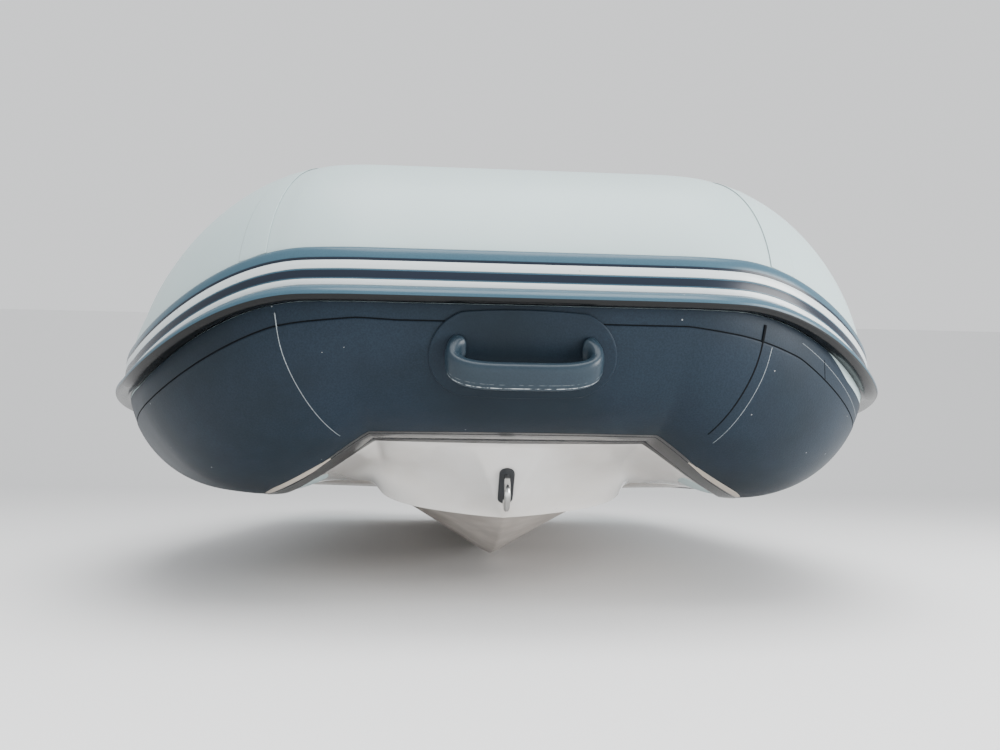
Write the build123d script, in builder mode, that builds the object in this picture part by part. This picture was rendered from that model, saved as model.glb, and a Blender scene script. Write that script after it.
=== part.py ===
"""Rigid inflatable dinghy: a U-shaped air tube with a raised square bow on a moulded V hull.

Frame: +X to port, +Y aft, +Z up. The origin is on the ground under the keel, at mid length.
All sizes are in millimetres. Port pieces are made and starboard pieces mirror them.
"""

import os
from math import asin, cos, degrees, radians, sin, sqrt

from build123d import *

# ---- driving dimensions ---------------------------------------------------------------------
length_overall = 3100.0
tube_radius = 210.0
fabric_wall = 2.0
seam_angle = 0.05  # the corner panels stop this many degrees short of the seams
side_axis_z = 390.0  # height of the side tubes' axis above the keel
bow_rise = 92.0  # how much higher the bow tube lies

bow_half_straight = 207.0  # the bow tube's straight part, each side of centre
corner_radius = 216.0
corner_angle = 61.5
shoulder_radius = 1817.0  # the gentle curve from the corner to the straight side
rise_start = 248.0  # arc lengths along the tube's axis between which the rise fades
rise_end = 448.0
stern_cone_length = 395.0
stern_cone_tip_radius = 78.0
stern_cone_cap = 22.0

skin_gap = 0.3  # clearance between layers that lie on the tube
panel_wall = 2.0

strake_top = 26.0  # the rubbing strake's edges, above and below the tube's axis
strake_bottom = -46.0
strake_depth = 25.0
stripe_depth = 1.6
stripe_gap = 0.2
stripe_bands = ((7.0, -5.0), (-18.5, -27.0))  # upper and lower white stripe
strake_end_cap = 40.0

panel_top_angle = -14.0  # wear panel, degrees above the outward direction
panel_side_top_angle = -32.0
panel_bottom_angle = -97.0
panel_fade_start = 620.0  # arc length where the panel's top edge starts to drop
side_panel_length = 1300.0

hull_wall = 8.0
deck_top = 300.0
deck_thickness = 8.0
transom_thickness = 40.0
transom_top = 540.0
transom_notch_z = 395.0
transom_notch_half = 200.0
transom_half_top = 330.0
transom_inset = 5.0
pad_thickness = 8.0

# ---- places worked out from them ------------------------------------------------------------
bow_axis_y = -length_overall / 2 + tube_radius + strake_depth
bow_axis_z = side_axis_z + bow_rise
turn = radians(corner_angle)
corner_end_s = bow_half_straight + corner_radius * turn
shoulder_end_s = corner_end_s + shoulder_radius * (radians(90) - turn)
side_start_y = bow_axis_y + corner_radius * (1 - cos(turn)) + shoulder_radius * cos(turn)
side_axis_x = bow_half_straight + corner_radius * sin(turn) + shoulder_radius * (1 - sin(turn))
cone_start_y = length_overall / 2 - stern_cone_length
side_length = cone_start_y - side_start_y
transom_outer_y = cone_start_y
transom_inner_y = transom_outer_y - transom_thickness

os.makedirs("parts", exist_ok=True)


def save(part, name):
    """Labels a finished piece and writes it to its own STEP file."""
    part.label = name
    export_step(part, f"parts/{name}.step")


def save_pair(part, name):
    """Writes a port piece and its mirror image on the starboard side."""
    save(part, f"port_{name}")
    save(mirror(part, about=Plane.YZ), f"starboard_{name}")


def save_set(solids, name):
    """Writes several loose pieces of one kind, and their starboard twins, as one node."""
    solids = list(solids)
    solids += [mirror(solid, about=Plane.YZ) for solid in solids]
    save(Compound(children=solids), name)


def axis_height(s):
    """Height of the tube's axis at arc length s from the centre of the bow."""
    u = min(max((s - rise_start) / (rise_end - rise_start), 0.0), 1.0)
    return side_axis_z + bow_rise * (1 - u * u * (3 - 2 * u))


def half_heights(s):
    """The tube's reach above and below its axis in an upright section at arc length s.

    Where the tube slopes it is the envelope of balls of its radius strung along the axis.
    """
    reach = [i * 7.0 for i in range(-30, 31)]
    balls = [(axis_height(s + d), sqrt(max(tube_radius**2 - d * d, 0.0))) for d in reach]
    above = max(height + half for height, half in balls) - axis_height(s)
    below = axis_height(s) - min(height - half for height, half in balls)
    return above, below


def station(s):
    """Upright plane across the tube's axis at arc length s: its x is outward and its y is up."""
    if s <= bow_half_straight:
        x, y, heading = s, bow_axis_y, 0.0
    elif s <= corner_end_s:
        heading = (s - bow_half_straight) / corner_radius
        x = bow_half_straight + corner_radius * sin(heading)
        y = bow_axis_y + corner_radius * (1 - cos(heading))
    else:
        heading = turn + (s - corner_end_s) / shoulder_radius
        x = side_axis_x - shoulder_radius * (1 - sin(heading))
        y = side_start_y - shoulder_radius * cos(heading)
    back = (-cos(heading), -sin(heading), 0)
    return Plane(origin=(x, y, axis_height(s)), x_dir=(sin(heading), -cos(heading), 0), z_dir=back)


def spread(first, last, count):
    """Evenly spaced values from first to last, both included."""
    return [first + (last - first) * i / (count - 1) for i in range(count)]


sloped_end_s = rise_end + 55
corner_stations = spread(bow_half_straight, sloped_end_s, 12)
corner_stations += spread(sloped_end_s, shoulder_end_s, 7)[1:]
bow_plane = station(0)
side_plane = station(shoulder_end_s)


# ---- profiles, drawn with x outward and y up from the tube's axis ----------------------------
def ring_profile(radius, wall):
    """The tube's section."""
    with BuildSketch() as profile:
        Circle(radius)
        Circle(radius - wall, mode=Mode.SUBTRACT)
    return profile.sketch


def half_ellipse(half_width, half_height, low_angle, high_angle):
    """An arc of an ellipse about the tube's axis, between two angles."""
    size = high_angle - low_angle
    return EllipticalCenterArc((0, 0), half_width, half_height, start_angle=low_angle, arc_size=size)


def disc_profile(s, grow):
    """The tube's full section at arc length s, made larger all round."""
    above, below = half_heights(s)
    with BuildSketch() as profile:
        with BuildLine():
            half_ellipse(tube_radius + grow, above + grow, 0, 180)
            half_ellipse(tube_radius + grow, below + grow, 180, 360)
        make_face()
    return profile.sketch


def band_profile(half_height, grow, wall, low_angle, high_angle):
    """A thin layer over one half of the tube's section, from one angle up to another."""
    with BuildSketch() as profile:
        with BuildLine():
            radius = tube_radius + grow
            height = half_height + grow
            outer = half_ellipse(radius + wall, height + wall, low_angle, high_angle)
            inner = half_ellipse(radius, height, low_angle, high_angle)
            Line(outer @ 0, inner @ 0)
            Line(outer @ 1, inner @ 1)
        make_face()
    return profile.sketch


def skin_x(s, height):
    """How far out the tube's skin is at a height above its axis, with the layer gap added."""
    above, below = half_heights(s)
    half = above if height > 0 else below
    return skin_gap + tube_radius * sqrt(1 - (height / half) ** 2)


def strake_profile(s):
    """The rubbing strake: two shallow grooves for the stripes and a blunt beak at the bottom."""
    front = tube_radius + 6.0
    nose = tube_radius + strake_depth
    (upper_top, upper_bottom), (lower_top, lower_bottom) = stripe_bands
    groove = stripe_depth + stripe_gap
    upper_face, lower_face = front + 0.5, front + 1.6
    backs = [(skin_x(s, strake_bottom * k / 4), strake_bottom * k / 4) for k in (3, 2, 1)]
    backs += [(skin_x(s, strake_top * k / 3), strake_top * k / 3) for k in (0, 1, 2)]
    top_x, bottom_x = skin_x(s, strake_top), skin_x(s, strake_bottom)
    outline = [
        (top_x, strake_top),
        (top_x + 2.5, strake_top),
        (front, strake_top - 5),
        (upper_face, upper_top),
        (upper_face - groove, upper_top),
        (upper_face - groove, upper_bottom),
        (upper_face, upper_bottom),
        (lower_face, lower_top),
        (lower_face - groove, lower_top),
        (lower_face - groove, lower_bottom),
        (lower_face, lower_bottom),
        (nose - 5, strake_bottom + 13),
        (nose, strake_bottom + 5),
        (nose - 2, strake_bottom - 1),
        (nose - 8, strake_bottom - 4),
        (bottom_x + 3, strake_bottom),
        (bottom_x, strake_bottom),
    ]
    with BuildSketch() as profile:
        with BuildLine():
            Polyline(*outline, *backs, close=True)
        make_face()
    return profile.sketch


def stripe_profile(band):
    """One white stripe, seated in its groove."""
    top, bottom = band
    front = tube_radius + 6.5 + (0.0 if band is stripe_bands[0] else 1.1)
    with BuildSketch() as profile:
        with Locations((front - stripe_depth / 2, (top + bottom) / 2)):
            Rectangle(stripe_depth, top - bottom - 2 * stripe_gap)
    return profile.sketch


def panel_top(s):
    """The wear panel's top edge: just under the strake at the bow, lower along the sides."""
    u = min(max((s - panel_fade_start) / (shoulder_end_s - panel_fade_start), 0.0), 1.0)
    return panel_top_angle + (panel_side_top_angle - panel_top_angle) * u * u * (3 - 2 * u)


# ---- the tube, built as five panels, two cones and two baffles -------------------------------
def along_bow(profile):
    """A profile carried along the straight bow."""
    with BuildPart() as piece:
        with BuildSketch(bow_plane):
            add(profile)
        extrude(amount=bow_half_straight, both=True)
    return piece.part


def round_corner(profiles):
    """Profiles, one for each station, carried round the port corner."""
    with BuildPart() as piece:
        for s, profile in zip(corner_stations, profiles):
            with BuildSketch(station(s)):
                add(profile)
        loft(ruled=True)
    return piece.part


def along_side(profile, length):
    """A profile carried aft along the straight port side."""
    with BuildPart() as piece:
        with BuildSketch(side_plane):
            add(profile)
        extrude(amount=-length)
    return piece.part


def tube_space(grow):
    """The space of the bow, port corner and port side tubes, made larger all round."""
    corner = round_corner([disc_profile(s, grow) for s in corner_stations])
    bow = along_bow(disc_profile(0, grow))
    return bow, corner, along_side(disc_profile(shoulder_end_s, grow), side_length)


bow_space, corner_space, side_space = tube_space(skin_gap)


def cut_to_tube(part, space):
    """Takes the tube's space away from a piece that lies against it."""
    bow, corner, side = space
    cut = part - bow
    for solid in (corner, side):
        cut = cut - solid - mirror(solid, about=Plane.YZ)
    return cut


# Air valves: where they sit, as (name, point on the tube's axis, along, outward).
valve_flange_radius = 30.0
valve_hole_radius = 22.5
inboard_up = (-sin(radians(50)), 0, cos(radians(50)))
valve_seats = {
    "port": ((side_axis_x, 780, side_axis_z), (0, 1, 0), inboard_up),
    "starboard": ((-side_axis_x, 780, side_axis_z), (0, 1, 0), (-inboard_up[0], 0, inboard_up[2])),
    "bow": ((0, bow_axis_y, bow_axis_z), (1, 0, 0), (0, sin(radians(50)), cos(radians(50)))),
}


def seat_plane(axis_point, along, outward):
    """Plane on the tube's axis whose z points out through the skin and whose x runs along it."""
    return Plane(origin=axis_point, x_dir=along, z_dir=outward)


def with_valve_hole(part, side):
    """Cuts the hole that an air valve is clamped in."""
    with BuildPart() as holed:
        add(part)
        with BuildSketch(seat_plane(*valve_seats[side])):
            Circle(valve_hole_radius)
        extrude(amount=tube_radius + 5, mode=Mode.SUBTRACT)
    return holed.part


tube_ring = ring_profile(tube_radius, fabric_wall)
save(with_valve_hole(along_bow(tube_ring), "bow"), "bow_tube")

upper, lower = [], []
for s in corner_stations:
    above, below = half_heights(s)
    upper.append(band_profile(above, -fabric_wall, fabric_wall, seam_angle, 180 - seam_angle))
    lower.append(band_profile(below, -fabric_wall, fabric_wall, 180 + seam_angle, 360 - seam_angle))
corner_halves = [*round_corner(upper).solids(), *round_corner(lower).solids()]
save(Compound(children=corner_halves), "port_corner_tube")
starboard_halves = [mirror(half, about=Plane.YZ) for half in corner_halves]
save(Compound(children=starboard_halves), "starboard_corner_tube")

save_pair(with_valve_hole(along_side(tube_ring, side_length), "port"), "side_tube")

cone_plane = Plane(origin=(side_axis_x, cone_start_y, side_axis_z), x_dir=(1, 0, 0), z_dir=(0, 0, 1))
with BuildPart() as stern_cone:
    with BuildSketch(cone_plane):
        with BuildLine():
            cone_end = stern_cone_length - stern_cone_cap
            Polyline(
                (tube_radius - fabric_wall, 0),
                (tube_radius, 0),
                (tube_radius - 8, 70),
                (stern_cone_tip_radius + 14, cone_end),
                (stern_cone_tip_radius, stern_cone_length),
                (0, stern_cone_length),
                (0, stern_cone_length - 4),
                (stern_cone_tip_radius - 4, stern_cone_length - 4),
                (stern_cone_tip_radius + 11, cone_end - 2),
                (tube_radius - 8 - fabric_wall - 0.5, 70),
                close=True,
            )
        make_face()
    revolve(axis=Axis((side_axis_x, cone_start_y, side_axis_z), (0, 1, 0)))
save_pair(stern_cone.part, "stern_cone")

baffle_belly = 60.0
with BuildPart() as baffle:
    with BuildSketch(cone_plane.offset(0)):
        with BuildLine():
            edge = tube_radius - fabric_wall
            start = -side_length + 20
            front = ThreePointArc(
                (0, start + baffle_belly), (edge * 0.6, start + baffle_belly * 0.62), (edge, start)
            )
            rear = ThreePointArc(
                (0, start + baffle_belly + 2),
                (edge * 0.6, start + baffle_belly * 0.62 + 2),
                (edge, start + 2),
            )
            Line(front @ 0, rear @ 0)
            Line(front @ 1, rear @ 1)
        make_face()
    revolve(axis=Axis((side_axis_x, cone_start_y, side_axis_z), (0, 1, 0)))
save_set(baffle.part.solids(), "chamber_baffles")

# ---- layers on the tube: wear panels, rubbing strake and its stripes -------------------------
panel_radius = tube_radius + skin_gap
def panel_profile(s):
    """The wear panel's section at one station."""
    _, below = half_heights(s)
    return band_profile(below, skin_gap, panel_wall, panel_bottom_angle, panel_top(s))


save(along_bow(panel_profile(0)), "bow_wear_panel")
save_pair(round_corner([panel_profile(s) for s in corner_stations]), "corner_wear_panel")
save_pair(along_side(panel_profile(shoulder_end_s), side_panel_length), "side_wear_panel")

strake_side_length = side_length - strake_end_cap - 10
save(along_bow(strake_profile(0)), "bow_rubbing_strake")
save_pair(round_corner([strake_profile(s) for s in corner_stations]), "corner_rubbing_strake")
save_pair(along_side(strake_profile(shoulder_end_s), strake_side_length), "side_rubbing_strake")

stripe_runs = []
for band in stripe_bands:
    stripe = stripe_profile(band)
    stripe_runs += along_bow(stripe).solids()
    corner = round_corner([stripe] * len(corner_stations))
    for run in (corner, along_side(stripe, strake_side_length)):
        stripe_runs += [run.solids()[0], mirror(run, about=Plane.YZ).solids()[0]]
save(Compound(children=stripe_runs), "white_stripes")

cap_back = tube_radius + skin_gap
with BuildPart() as strake_cap:
    with BuildSketch(side_plane.offset(-strake_side_length)):
        with BuildLine():
            Polyline(
                (sqrt(cap_back**2 - strake_top**2), strake_top),
                (tube_radius + 9, strake_top - 6),
                (tube_radius + strake_depth, strake_bottom + 9),
                (tube_radius + strake_depth - 7, strake_bottom - 4),
                (sqrt(cap_back**2 - strake_bottom**2), strake_bottom),
            )
            bottom = degrees(asin(strake_bottom / cap_back))
            CenterArc((0, 0), cap_back, bottom, degrees(asin(strake_top / cap_back)) - bottom)
        make_face()
    extrude(amount=-strake_end_cap, taper=0)
    chamfer(strake_cap.faces().sort_by(Axis.Y)[-1].edges().sort_by(Axis.X)[-3:], 7)
save_set(strake_cap.part.solids(), "strake_end_caps")

# ---- grab handles ---------------------------------------------------------------------------
handle_reach = 40.0  # height of the grip's centre above the patch
handle_half = 87.0  # half the distance between the two legs
handle_root = 16.0  # the legs stand above the patch's middle and lean down to the grip
grip_drop = 8.0
handle_bend = 28.0
grip_thickness = 22.0
grip_width = 34.0
patch_length = 255.0
patch_width = 132.0
patch_wall = 2.5


def handle_patch(base_radius):
    """The oval patch that anchors a handle, curved to the tube it is glued on."""
    with BuildPart() as patch:
        with BuildSketch(Plane.YZ):
            Circle(base_radius + patch_wall)
            Circle(base_radius, mode=Mode.SUBTRACT)
        extrude(amount=patch_length, both=True)
        with BuildSketch(Plane.XY):
            SlotOverall(patch_length, patch_width)
        extrude(amount=base_radius + 50, mode=Mode.INTERSECT)
    return patch.part


def grab_handle(base_radius):
    """A moulded grip with two legs that stand on the patch."""
    foot = base_radius + skin_gap
    reach = foot + handle_reach
    lean = (0, -grip_drop - handle_root, handle_reach + 8)
    with BuildPart() as handle:
        with BuildLine() as route:
            FilletPolyline(
                (-handle_half, handle_root, foot - 8),
                (-handle_half, -grip_drop, reach),
                (handle_half, -grip_drop, reach),
                (handle_half, handle_root, foot - 8),
                radius=handle_bend,
            )
        with BuildSketch(Plane(origin=route.line @ 0, x_dir=(1, 0, 0), z_dir=lean)):
            Ellipse(grip_thickness / 2, grip_width / 2)
        sweep()
        with BuildSketch(Plane.XY.offset(foot - 12)):
            with Locations((-handle_half, handle_root), (handle_half, handle_root)):
                Ellipse(24, 30)
        extrude(amount=22, taper=25)
        with BuildSketch(Plane.YZ):
            Circle(foot)
        extrude(amount=patch_length, both=True, mode=Mode.SUBTRACT)
    return handle.part


bow_handle_angle = radians(-32)
outboard_up = (sin(radians(38)), 0, cos(radians(38)))
bow_handle_plane = seat_plane(
    (0, bow_axis_y, bow_axis_z), (1, 0, 0), (0, -cos(bow_handle_angle), sin(bow_handle_angle))
)
bow_patch_base = tube_radius + skin_gap + panel_wall + skin_gap
save(bow_handle_plane.from_local_coords(handle_patch(bow_patch_base)), "bow_handle_patch")
save(bow_handle_plane.from_local_coords(grab_handle(bow_patch_base + patch_wall)), "bow_handle")
side_patches = []
for name, y in (("fore", -170.0), ("aft", 860.0)):
    plane = seat_plane((side_axis_x, y, side_axis_z), (0, 1, 0), outboard_up)
    patch = handle_patch(tube_radius + skin_gap)
    handle = grab_handle(tube_radius + skin_gap + patch_wall)
    side_patches += plane.from_local_coords(patch).solids()
    save_pair(plane.from_local_coords(handle), f"{name}_handle")
save_set(side_patches, "side_handle_patches")

# ---- hull, deck and transom -----------------------------------------------------------------
# Each hull station: (distance aft of the bow tube's axis, keel height, chine half-width,
# chine height, landing half-width, landing height). The keel line is level from the sixth on.
hull_stations = [
    (45.0, 262.0, 200.0, 265.0, 255.0, 270.0),
    (110.0, 199.0, 214.0, 214.0, 300.0, 244.0),
    (180.0, 131.0, 234.0, 158.0, 338.0, 218.0),
    (300.0, 90.0, 260.0, 160.0, 385.0, 196.0),
    (510.0, 30.0, 285.0, 166.0, 435.0, 182.0),
    (760.0, 6.0, 305.0, 168.0, 470.0, 177.0),
    (1050.0, 0.0, 325.0, 168.0, 510.0, 175.0),
    (1700.0, 0.0, 350.0, 167.0, 525.0, 175.0),
    (transom_inner_y - bow_axis_y, 0.0, 365.0, 165.0, 530.0, 175.0),
]
hull_top = deck_top - deck_thickness
keel_flat = 3.0  # half-width of the keel's rounded-off edge


def hull_section(keel_z, chine_x, chine_z, landing_x, landing_z, top_z):
    """One closed section of the hull, square to the centreline, with y up."""
    side = [(keel_flat, keel_z), (chine_x, chine_z), (landing_x, landing_z), (landing_x, top_z)]
    outline = side + [(-x, z) for x, z in reversed(side)]
    with BuildSketch() as section:
        with BuildLine():
            Polyline(*outline, close=True)
        make_face()
    return section.sketch


def athwart_plane(y):
    """Plane square to the centreline at y, with x to port and y up."""
    return Plane(origin=(0, y, 0), x_dir=(1, 0, 0), z_dir=(0, -1, 0))


with BuildPart() as hull_form:
    for aft, keel_z, chine_x, chine_z, landing_x, landing_z in hull_stations:
        with BuildSketch(athwart_plane(bow_axis_y + aft)):
            add(hull_section(keel_z, chine_x, chine_z, landing_x, landing_z, hull_top))
    loft(ruled=True)

with BuildPart() as hull_hollow:
    for aft, keel_z, chine_x, chine_z, landing_x, landing_z in hull_stations:
        inset = hull_wall * (1.6 if aft < 400 else 1.0)
        start = aft + 30 if aft < 50 else aft
        inner = hull_section(
            keel_z + inset,
            chine_x - hull_wall / 2,
            chine_z + inset,
            landing_x - hull_wall,
            landing_z + inset,
            hull_top + 1,
        )
        with BuildSketch(athwart_plane(bow_axis_y + start)):
            add(inner)
    loft(ruled=True)

# Bow eye: a U-bolt square to the raked stem, with an oval plate outside and nuts inside.
eye_rod = 5.0
eye_half_pitch = 26.0
eye_reach = 40.0
eye_plate_thickness = 3.0
stem_top = hull_stations[0]
stem_foot = hull_stations[2]
stem_run = Vector(0, stem_foot[0] - stem_top[0], stem_foot[1] - stem_top[1]).normalized()
stem_out = Vector(0, stem_run.Z, -stem_run.Y)
eye_centre = Vector(0, bow_axis_y + hull_stations[1][0] + 4, hull_stations[1][1] - 4)
eye_plane = Plane(origin=eye_centre, x_dir=(1, 0, 0), z_dir=stem_out)

drain_z = 325.0
drain_x = 160.0
drain_hole = 15.0

outer_form = cut_to_tube(hull_form.part, (bow_space, corner_space, side_space))
hull_cut = outer_form - cut_to_tube(hull_hollow.part, tube_space(skin_gap + hull_wall))
with BuildPart() as hull_shell:
    add(hull_cut)
    with BuildSketch(eye_plane.offset(eye_plate_thickness)):
        with Locations((0, -eye_half_pitch), (0, eye_half_pitch)):
            Circle(eye_rod + 0.3)
    extrude(amount=-60, mode=Mode.SUBTRACT)
    with BuildSketch(eye_plane):
        SlotOverall(90, 38, rotation=90)
    extrude(amount=20, mode=Mode.SUBTRACT)
save(hull_shell.part, "hull_shell")

deck_front_y = bow_axis_y + 128
with BuildPart() as deck_blank:
    with BuildSketch(Plane.XY.offset(hull_top)):
        with BuildLine():
            half = [(215, deck_front_y), (430, bow_axis_y + 330), (445, transom_inner_y)]
            Polyline(*half, *[(-x, y) for x, y in reversed(half)], close=True)
        make_face()
    extrude(amount=deck_thickness)
save(cut_to_tube(deck_blank.part, (bow_space, corner_space, side_space)), "deck")

last = hull_stations[-1]
with BuildPart() as transom_blank:
    with BuildSketch(athwart_plane(transom_outer_y)):
        with BuildLine():
            side = [
                (keel_flat, transom_inset),
                (last[2] - transom_inset, last[3] + transom_inset),
                (last[4] - 20, last[5] + transom_inset),
                (last[4] - 20, side_axis_z),
                (transom_half_top + 60, transom_top - 40),
                (transom_half_top, transom_top),
                (transom_notch_half + 30, transom_top),
                (transom_notch_half, transom_notch_z),
            ]
            Polyline(*side, *[(-x, z) for x, z in reversed(side)], close=True)
        make_face()
    extrude(amount=transom_thickness)
transom_cut = cut_to_tube(transom_blank.part, (bow_space, corner_space, side_space))

# Stern eyes: U-bolts through the transom, one each side of the motor.
stern_eye_x = 285.0
stern_eye_z = 250.0
stern_eye_half_pitch = 22.0
stern_eye_rod = 4.0
stern_eye_reach = 42.0
stern_plane = Plane(origin=(stern_eye_x, transom_outer_y, stern_eye_z), x_dir=(-1, 0, 0), z_dir=(0, 1, 0))
with BuildPart() as transom:
    add(transom_cut)
    for x in (-stern_eye_x, stern_eye_x):
        with BuildSketch(athwart_plane(transom_outer_y + 1)):
            with Locations((x - stern_eye_half_pitch, stern_eye_z), (x + stern_eye_half_pitch, stern_eye_z)):
                Circle(stern_eye_rod + 0.3)
        extrude(amount=transom_thickness + 2, mode=Mode.SUBTRACT)
    with BuildSketch(athwart_plane(transom_outer_y + 1)):
        with Locations((drain_x, drain_z)):
            Circle(drain_hole)
    extrude(amount=transom_thickness + 2, mode=Mode.SUBTRACT)
save(transom.part, "transom_board")

pad_top = transom_notch_z - 6
with BuildPart() as inner_pad:
    with BuildSketch(athwart_plane(transom_inner_y)):
        with Locations((0, pad_top - 40)):
            RectangleRounded(250, 80, 12)
    extrude(amount=pad_thickness)
save(inner_pad.part, "inner_motor_pad")
with BuildPart() as outer_pad:
    with BuildSketch(athwart_plane(transom_outer_y + pad_thickness)):
        with Locations((0, pad_top - 110)):
            RectangleRounded(260, 220, 15)
    extrude(amount=pad_thickness)
save(outer_pad.part, "outer_motor_pad")


def u_bolt(plane, rod, half_pitch, reach, depth, bend):
    """A round bar bent to a U, legs along the plane's z and set apart along its y."""
    with BuildPart() as bolt:
        with BuildLine(plane) as route:
            FilletPolyline(
                (0, -half_pitch, -depth),
                (0, -half_pitch, reach),
                (0, half_pitch, reach),
                (0, half_pitch, -depth),
                radius=bend,
            )
        start = Plane(origin=route.line @ 0, z_dir=plane.z_dir)
        with BuildSketch(start):
            Circle(rod)
        sweep()
    return bolt.part


def eye_plate(plane, length, width, thickness, rod, half_pitch):
    """The plate under a U-bolt, with a hole for each leg."""
    with BuildPart() as plate:
        with BuildSketch(plane):
            SlotOverall(length, width, rotation=90)
            with Locations((0, -half_pitch), (0, half_pitch)):
                Circle(rod + 0.2, mode=Mode.SUBTRACT)
        extrude(amount=thickness)
    return plate.part


def hex_nuts(plane, rod, half_pitch, depth):
    """The two nuts on a U-bolt's legs, inside the wall."""
    with BuildPart() as nuts:
        with BuildSketch(plane.offset(-depth)):
            with Locations((0, -half_pitch), (0, half_pitch)):
                RegularPolygon(rod * 1.85, 6)
                Circle(rod + 0.1, mode=Mode.SUBTRACT)
        extrude(amount=-rod * 1.6)
    return nuts.part


save(u_bolt(eye_plane, eye_rod, eye_half_pitch, eye_reach, 30, 20), "bow_eye")
save(eye_plate(eye_plane, 84, 26, eye_plate_thickness, eye_rod, eye_half_pitch), "bow_eye_plate")

stern_up = Plane(origin=stern_plane.origin, x_dir=(0, 0, 1), z_dir=(0, 1, 0))
save_pair(
    u_bolt(stern_up, stern_eye_rod, stern_eye_half_pitch, stern_eye_reach, transom_thickness + 14, 16),
    "stern_eye",
)
plate = eye_plate(stern_up, 70, 22, 3, stern_eye_rod, stern_eye_half_pitch)
nuts = hex_nuts(stern_up, stern_eye_rod, stern_eye_half_pitch, transom_thickness)
save_set([*plate.solids(), *nuts.solids()], "stern_eye_fastenings")

# ---- drain through the transom --------------------------------------------------------------
drain_flange = 24.0
drain_bore = 11.0
drain_axis_front = athwart_plane(transom_outer_y)
with BuildPart() as drain_socket:
    with BuildSketch(athwart_plane(transom_outer_y + 3)):
        with Locations((drain_x, drain_z)):
            Circle(drain_flange)
    extrude(amount=3)
    with BuildSketch(athwart_plane(transom_outer_y)):
        with Locations((drain_x, drain_z)):
            Circle(drain_hole - 0.2)
    extrude(amount=transom_thickness)
    with BuildSketch(athwart_plane(transom_inner_y)):
        with Locations((drain_x, drain_z)):
            Circle(drain_flange - 3)
    extrude(amount=3)
    with BuildSketch(athwart_plane(transom_outer_y + 3)):
        with Locations((drain_x, drain_z)):
            Circle(drain_bore)
    extrude(amount=transom_thickness + 6, mode=Mode.SUBTRACT)
save(drain_socket.part, "drain_socket")

plug_face_y = transom_inner_y - 3 - skin_gap
with BuildPart() as drain_plug:
    with BuildSketch(athwart_plane(plug_face_y)):
        with Locations((drain_x, drain_z)):
            Circle(drain_flange - 6)
    extrude(amount=5)
    with BuildSketch(athwart_plane(plug_face_y + 22)):
        with Locations((drain_x, drain_z)):
            Circle(drain_bore - 0.1)
    extrude(amount=22)
    with BuildSketch(athwart_plane(plug_face_y - 5)):
        with Locations((drain_x, drain_z)):
            SlotOverall(30, 7)
    extrude(amount=9)
save(drain_plug.part, "drain_plug")

flap_y = transom_outer_y + 3 + skin_gap
flap_hinge_z = drain_z + drain_flange + 5
with BuildPart() as drain_flap:
    with BuildSketch(athwart_plane(flap_y + 3)):
        with Locations((drain_x, drain_z)):
            Circle(drain_flange - 3)
        with Locations((drain_x, (drain_z + flap_hinge_z) / 2)):
            Rectangle(24, flap_hinge_z - drain_z)
    extrude(amount=3)
    with BuildSketch(Plane(origin=(drain_x - 12, flap_y + 3, flap_hinge_z), x_dir=(0, 1, 0), z_dir=(1, 0, 0))):
        Circle(4)
        Circle(2.1, mode=Mode.SUBTRACT)
    extrude(amount=24)
save(drain_flap.part, "drain_flap")

# ---- air valves -----------------------------------------------------------------------------
valve_barrel = valve_hole_radius - 0.5
valve_bore = 18.5
valve_depth = 30.0
valve_flange_top = tube_radius + skin_gap + 5
stem_radius = 4.0


def turned(profile_points):
    """A turned piece about local z, from points (radius, height)."""
    with BuildPart() as piece:
        with BuildSketch(Plane.XZ):
            with BuildLine():
                Polyline(*profile_points, close=True)
            make_face()
        revolve(axis=Axis.Z)
    return piece.part


floor_z = tube_radius - valve_depth
valve_body = turned(
    [
        (stem_radius + 0.2, floor_z),
        (valve_barrel, floor_z),
        (valve_barrel, tube_radius + skin_gap),
        (valve_flange_radius, tube_radius + skin_gap),
        (valve_flange_radius - 2, valve_flange_top),
        (valve_bore, valve_flange_top),
        (valve_bore, floor_z + 4),
        (stem_radius + 0.2, floor_z + 4),
    ]
)
valve_plunger = turned(
    [
        (0, floor_z - 5),
        (17, floor_z - 5),
        (17, floor_z - skin_gap),
        (stem_radius, floor_z - skin_gap),
        (stem_radius, tube_radius - 12),
        (9, tube_radius - 12),
        (9, tube_radius - 8),
        (0, tube_radius - 8),
    ]
)
cap_bottom = valve_flange_top + skin_gap
valve_cap = turned(
    [
        (0, cap_bottom + 5),
        (14, cap_bottom + 5),
        (14, tube_radius - 5),
        (valve_bore - 0.2, tube_radius - 5),
        (valve_bore - 0.2, cap_bottom),
        (valve_flange_radius - 3, cap_bottom),
        (valve_flange_radius - 3, cap_bottom + 7),
        (valve_flange_radius - 8, cap_bottom + 11),
        (0, cap_bottom + 12),
    ]
)
for name, seat in valve_seats.items():
    plane = seat_plane(*seat)
    save(plane.from_local_coords(valve_body), f"{name}_valve_body")
    save(plane.from_local_coords(valve_plunger), f"{name}_valve_plunger")
    save(plane.from_local_coords(valve_cap), f"{name}_valve_cap")

# ---- rowlocks -------------------------------------------------------------------------------
rowlock_y = 60.0
rowlock_tilt = radians(12)  # leaning outboard from straight up
rowlock_plane = seat_plane(
    (side_axis_x, rowlock_y, side_axis_z), (0, 1, 0), (sin(rowlock_tilt), 0, cos(rowlock_tilt))
)
socket_foot = tube_radius + skin_gap
socket_top = socket_foot + 30
shank_radius = 7.0
horn_gap = 26.0  # radius of the oar's seat
horn_bar = 6.0

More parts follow.
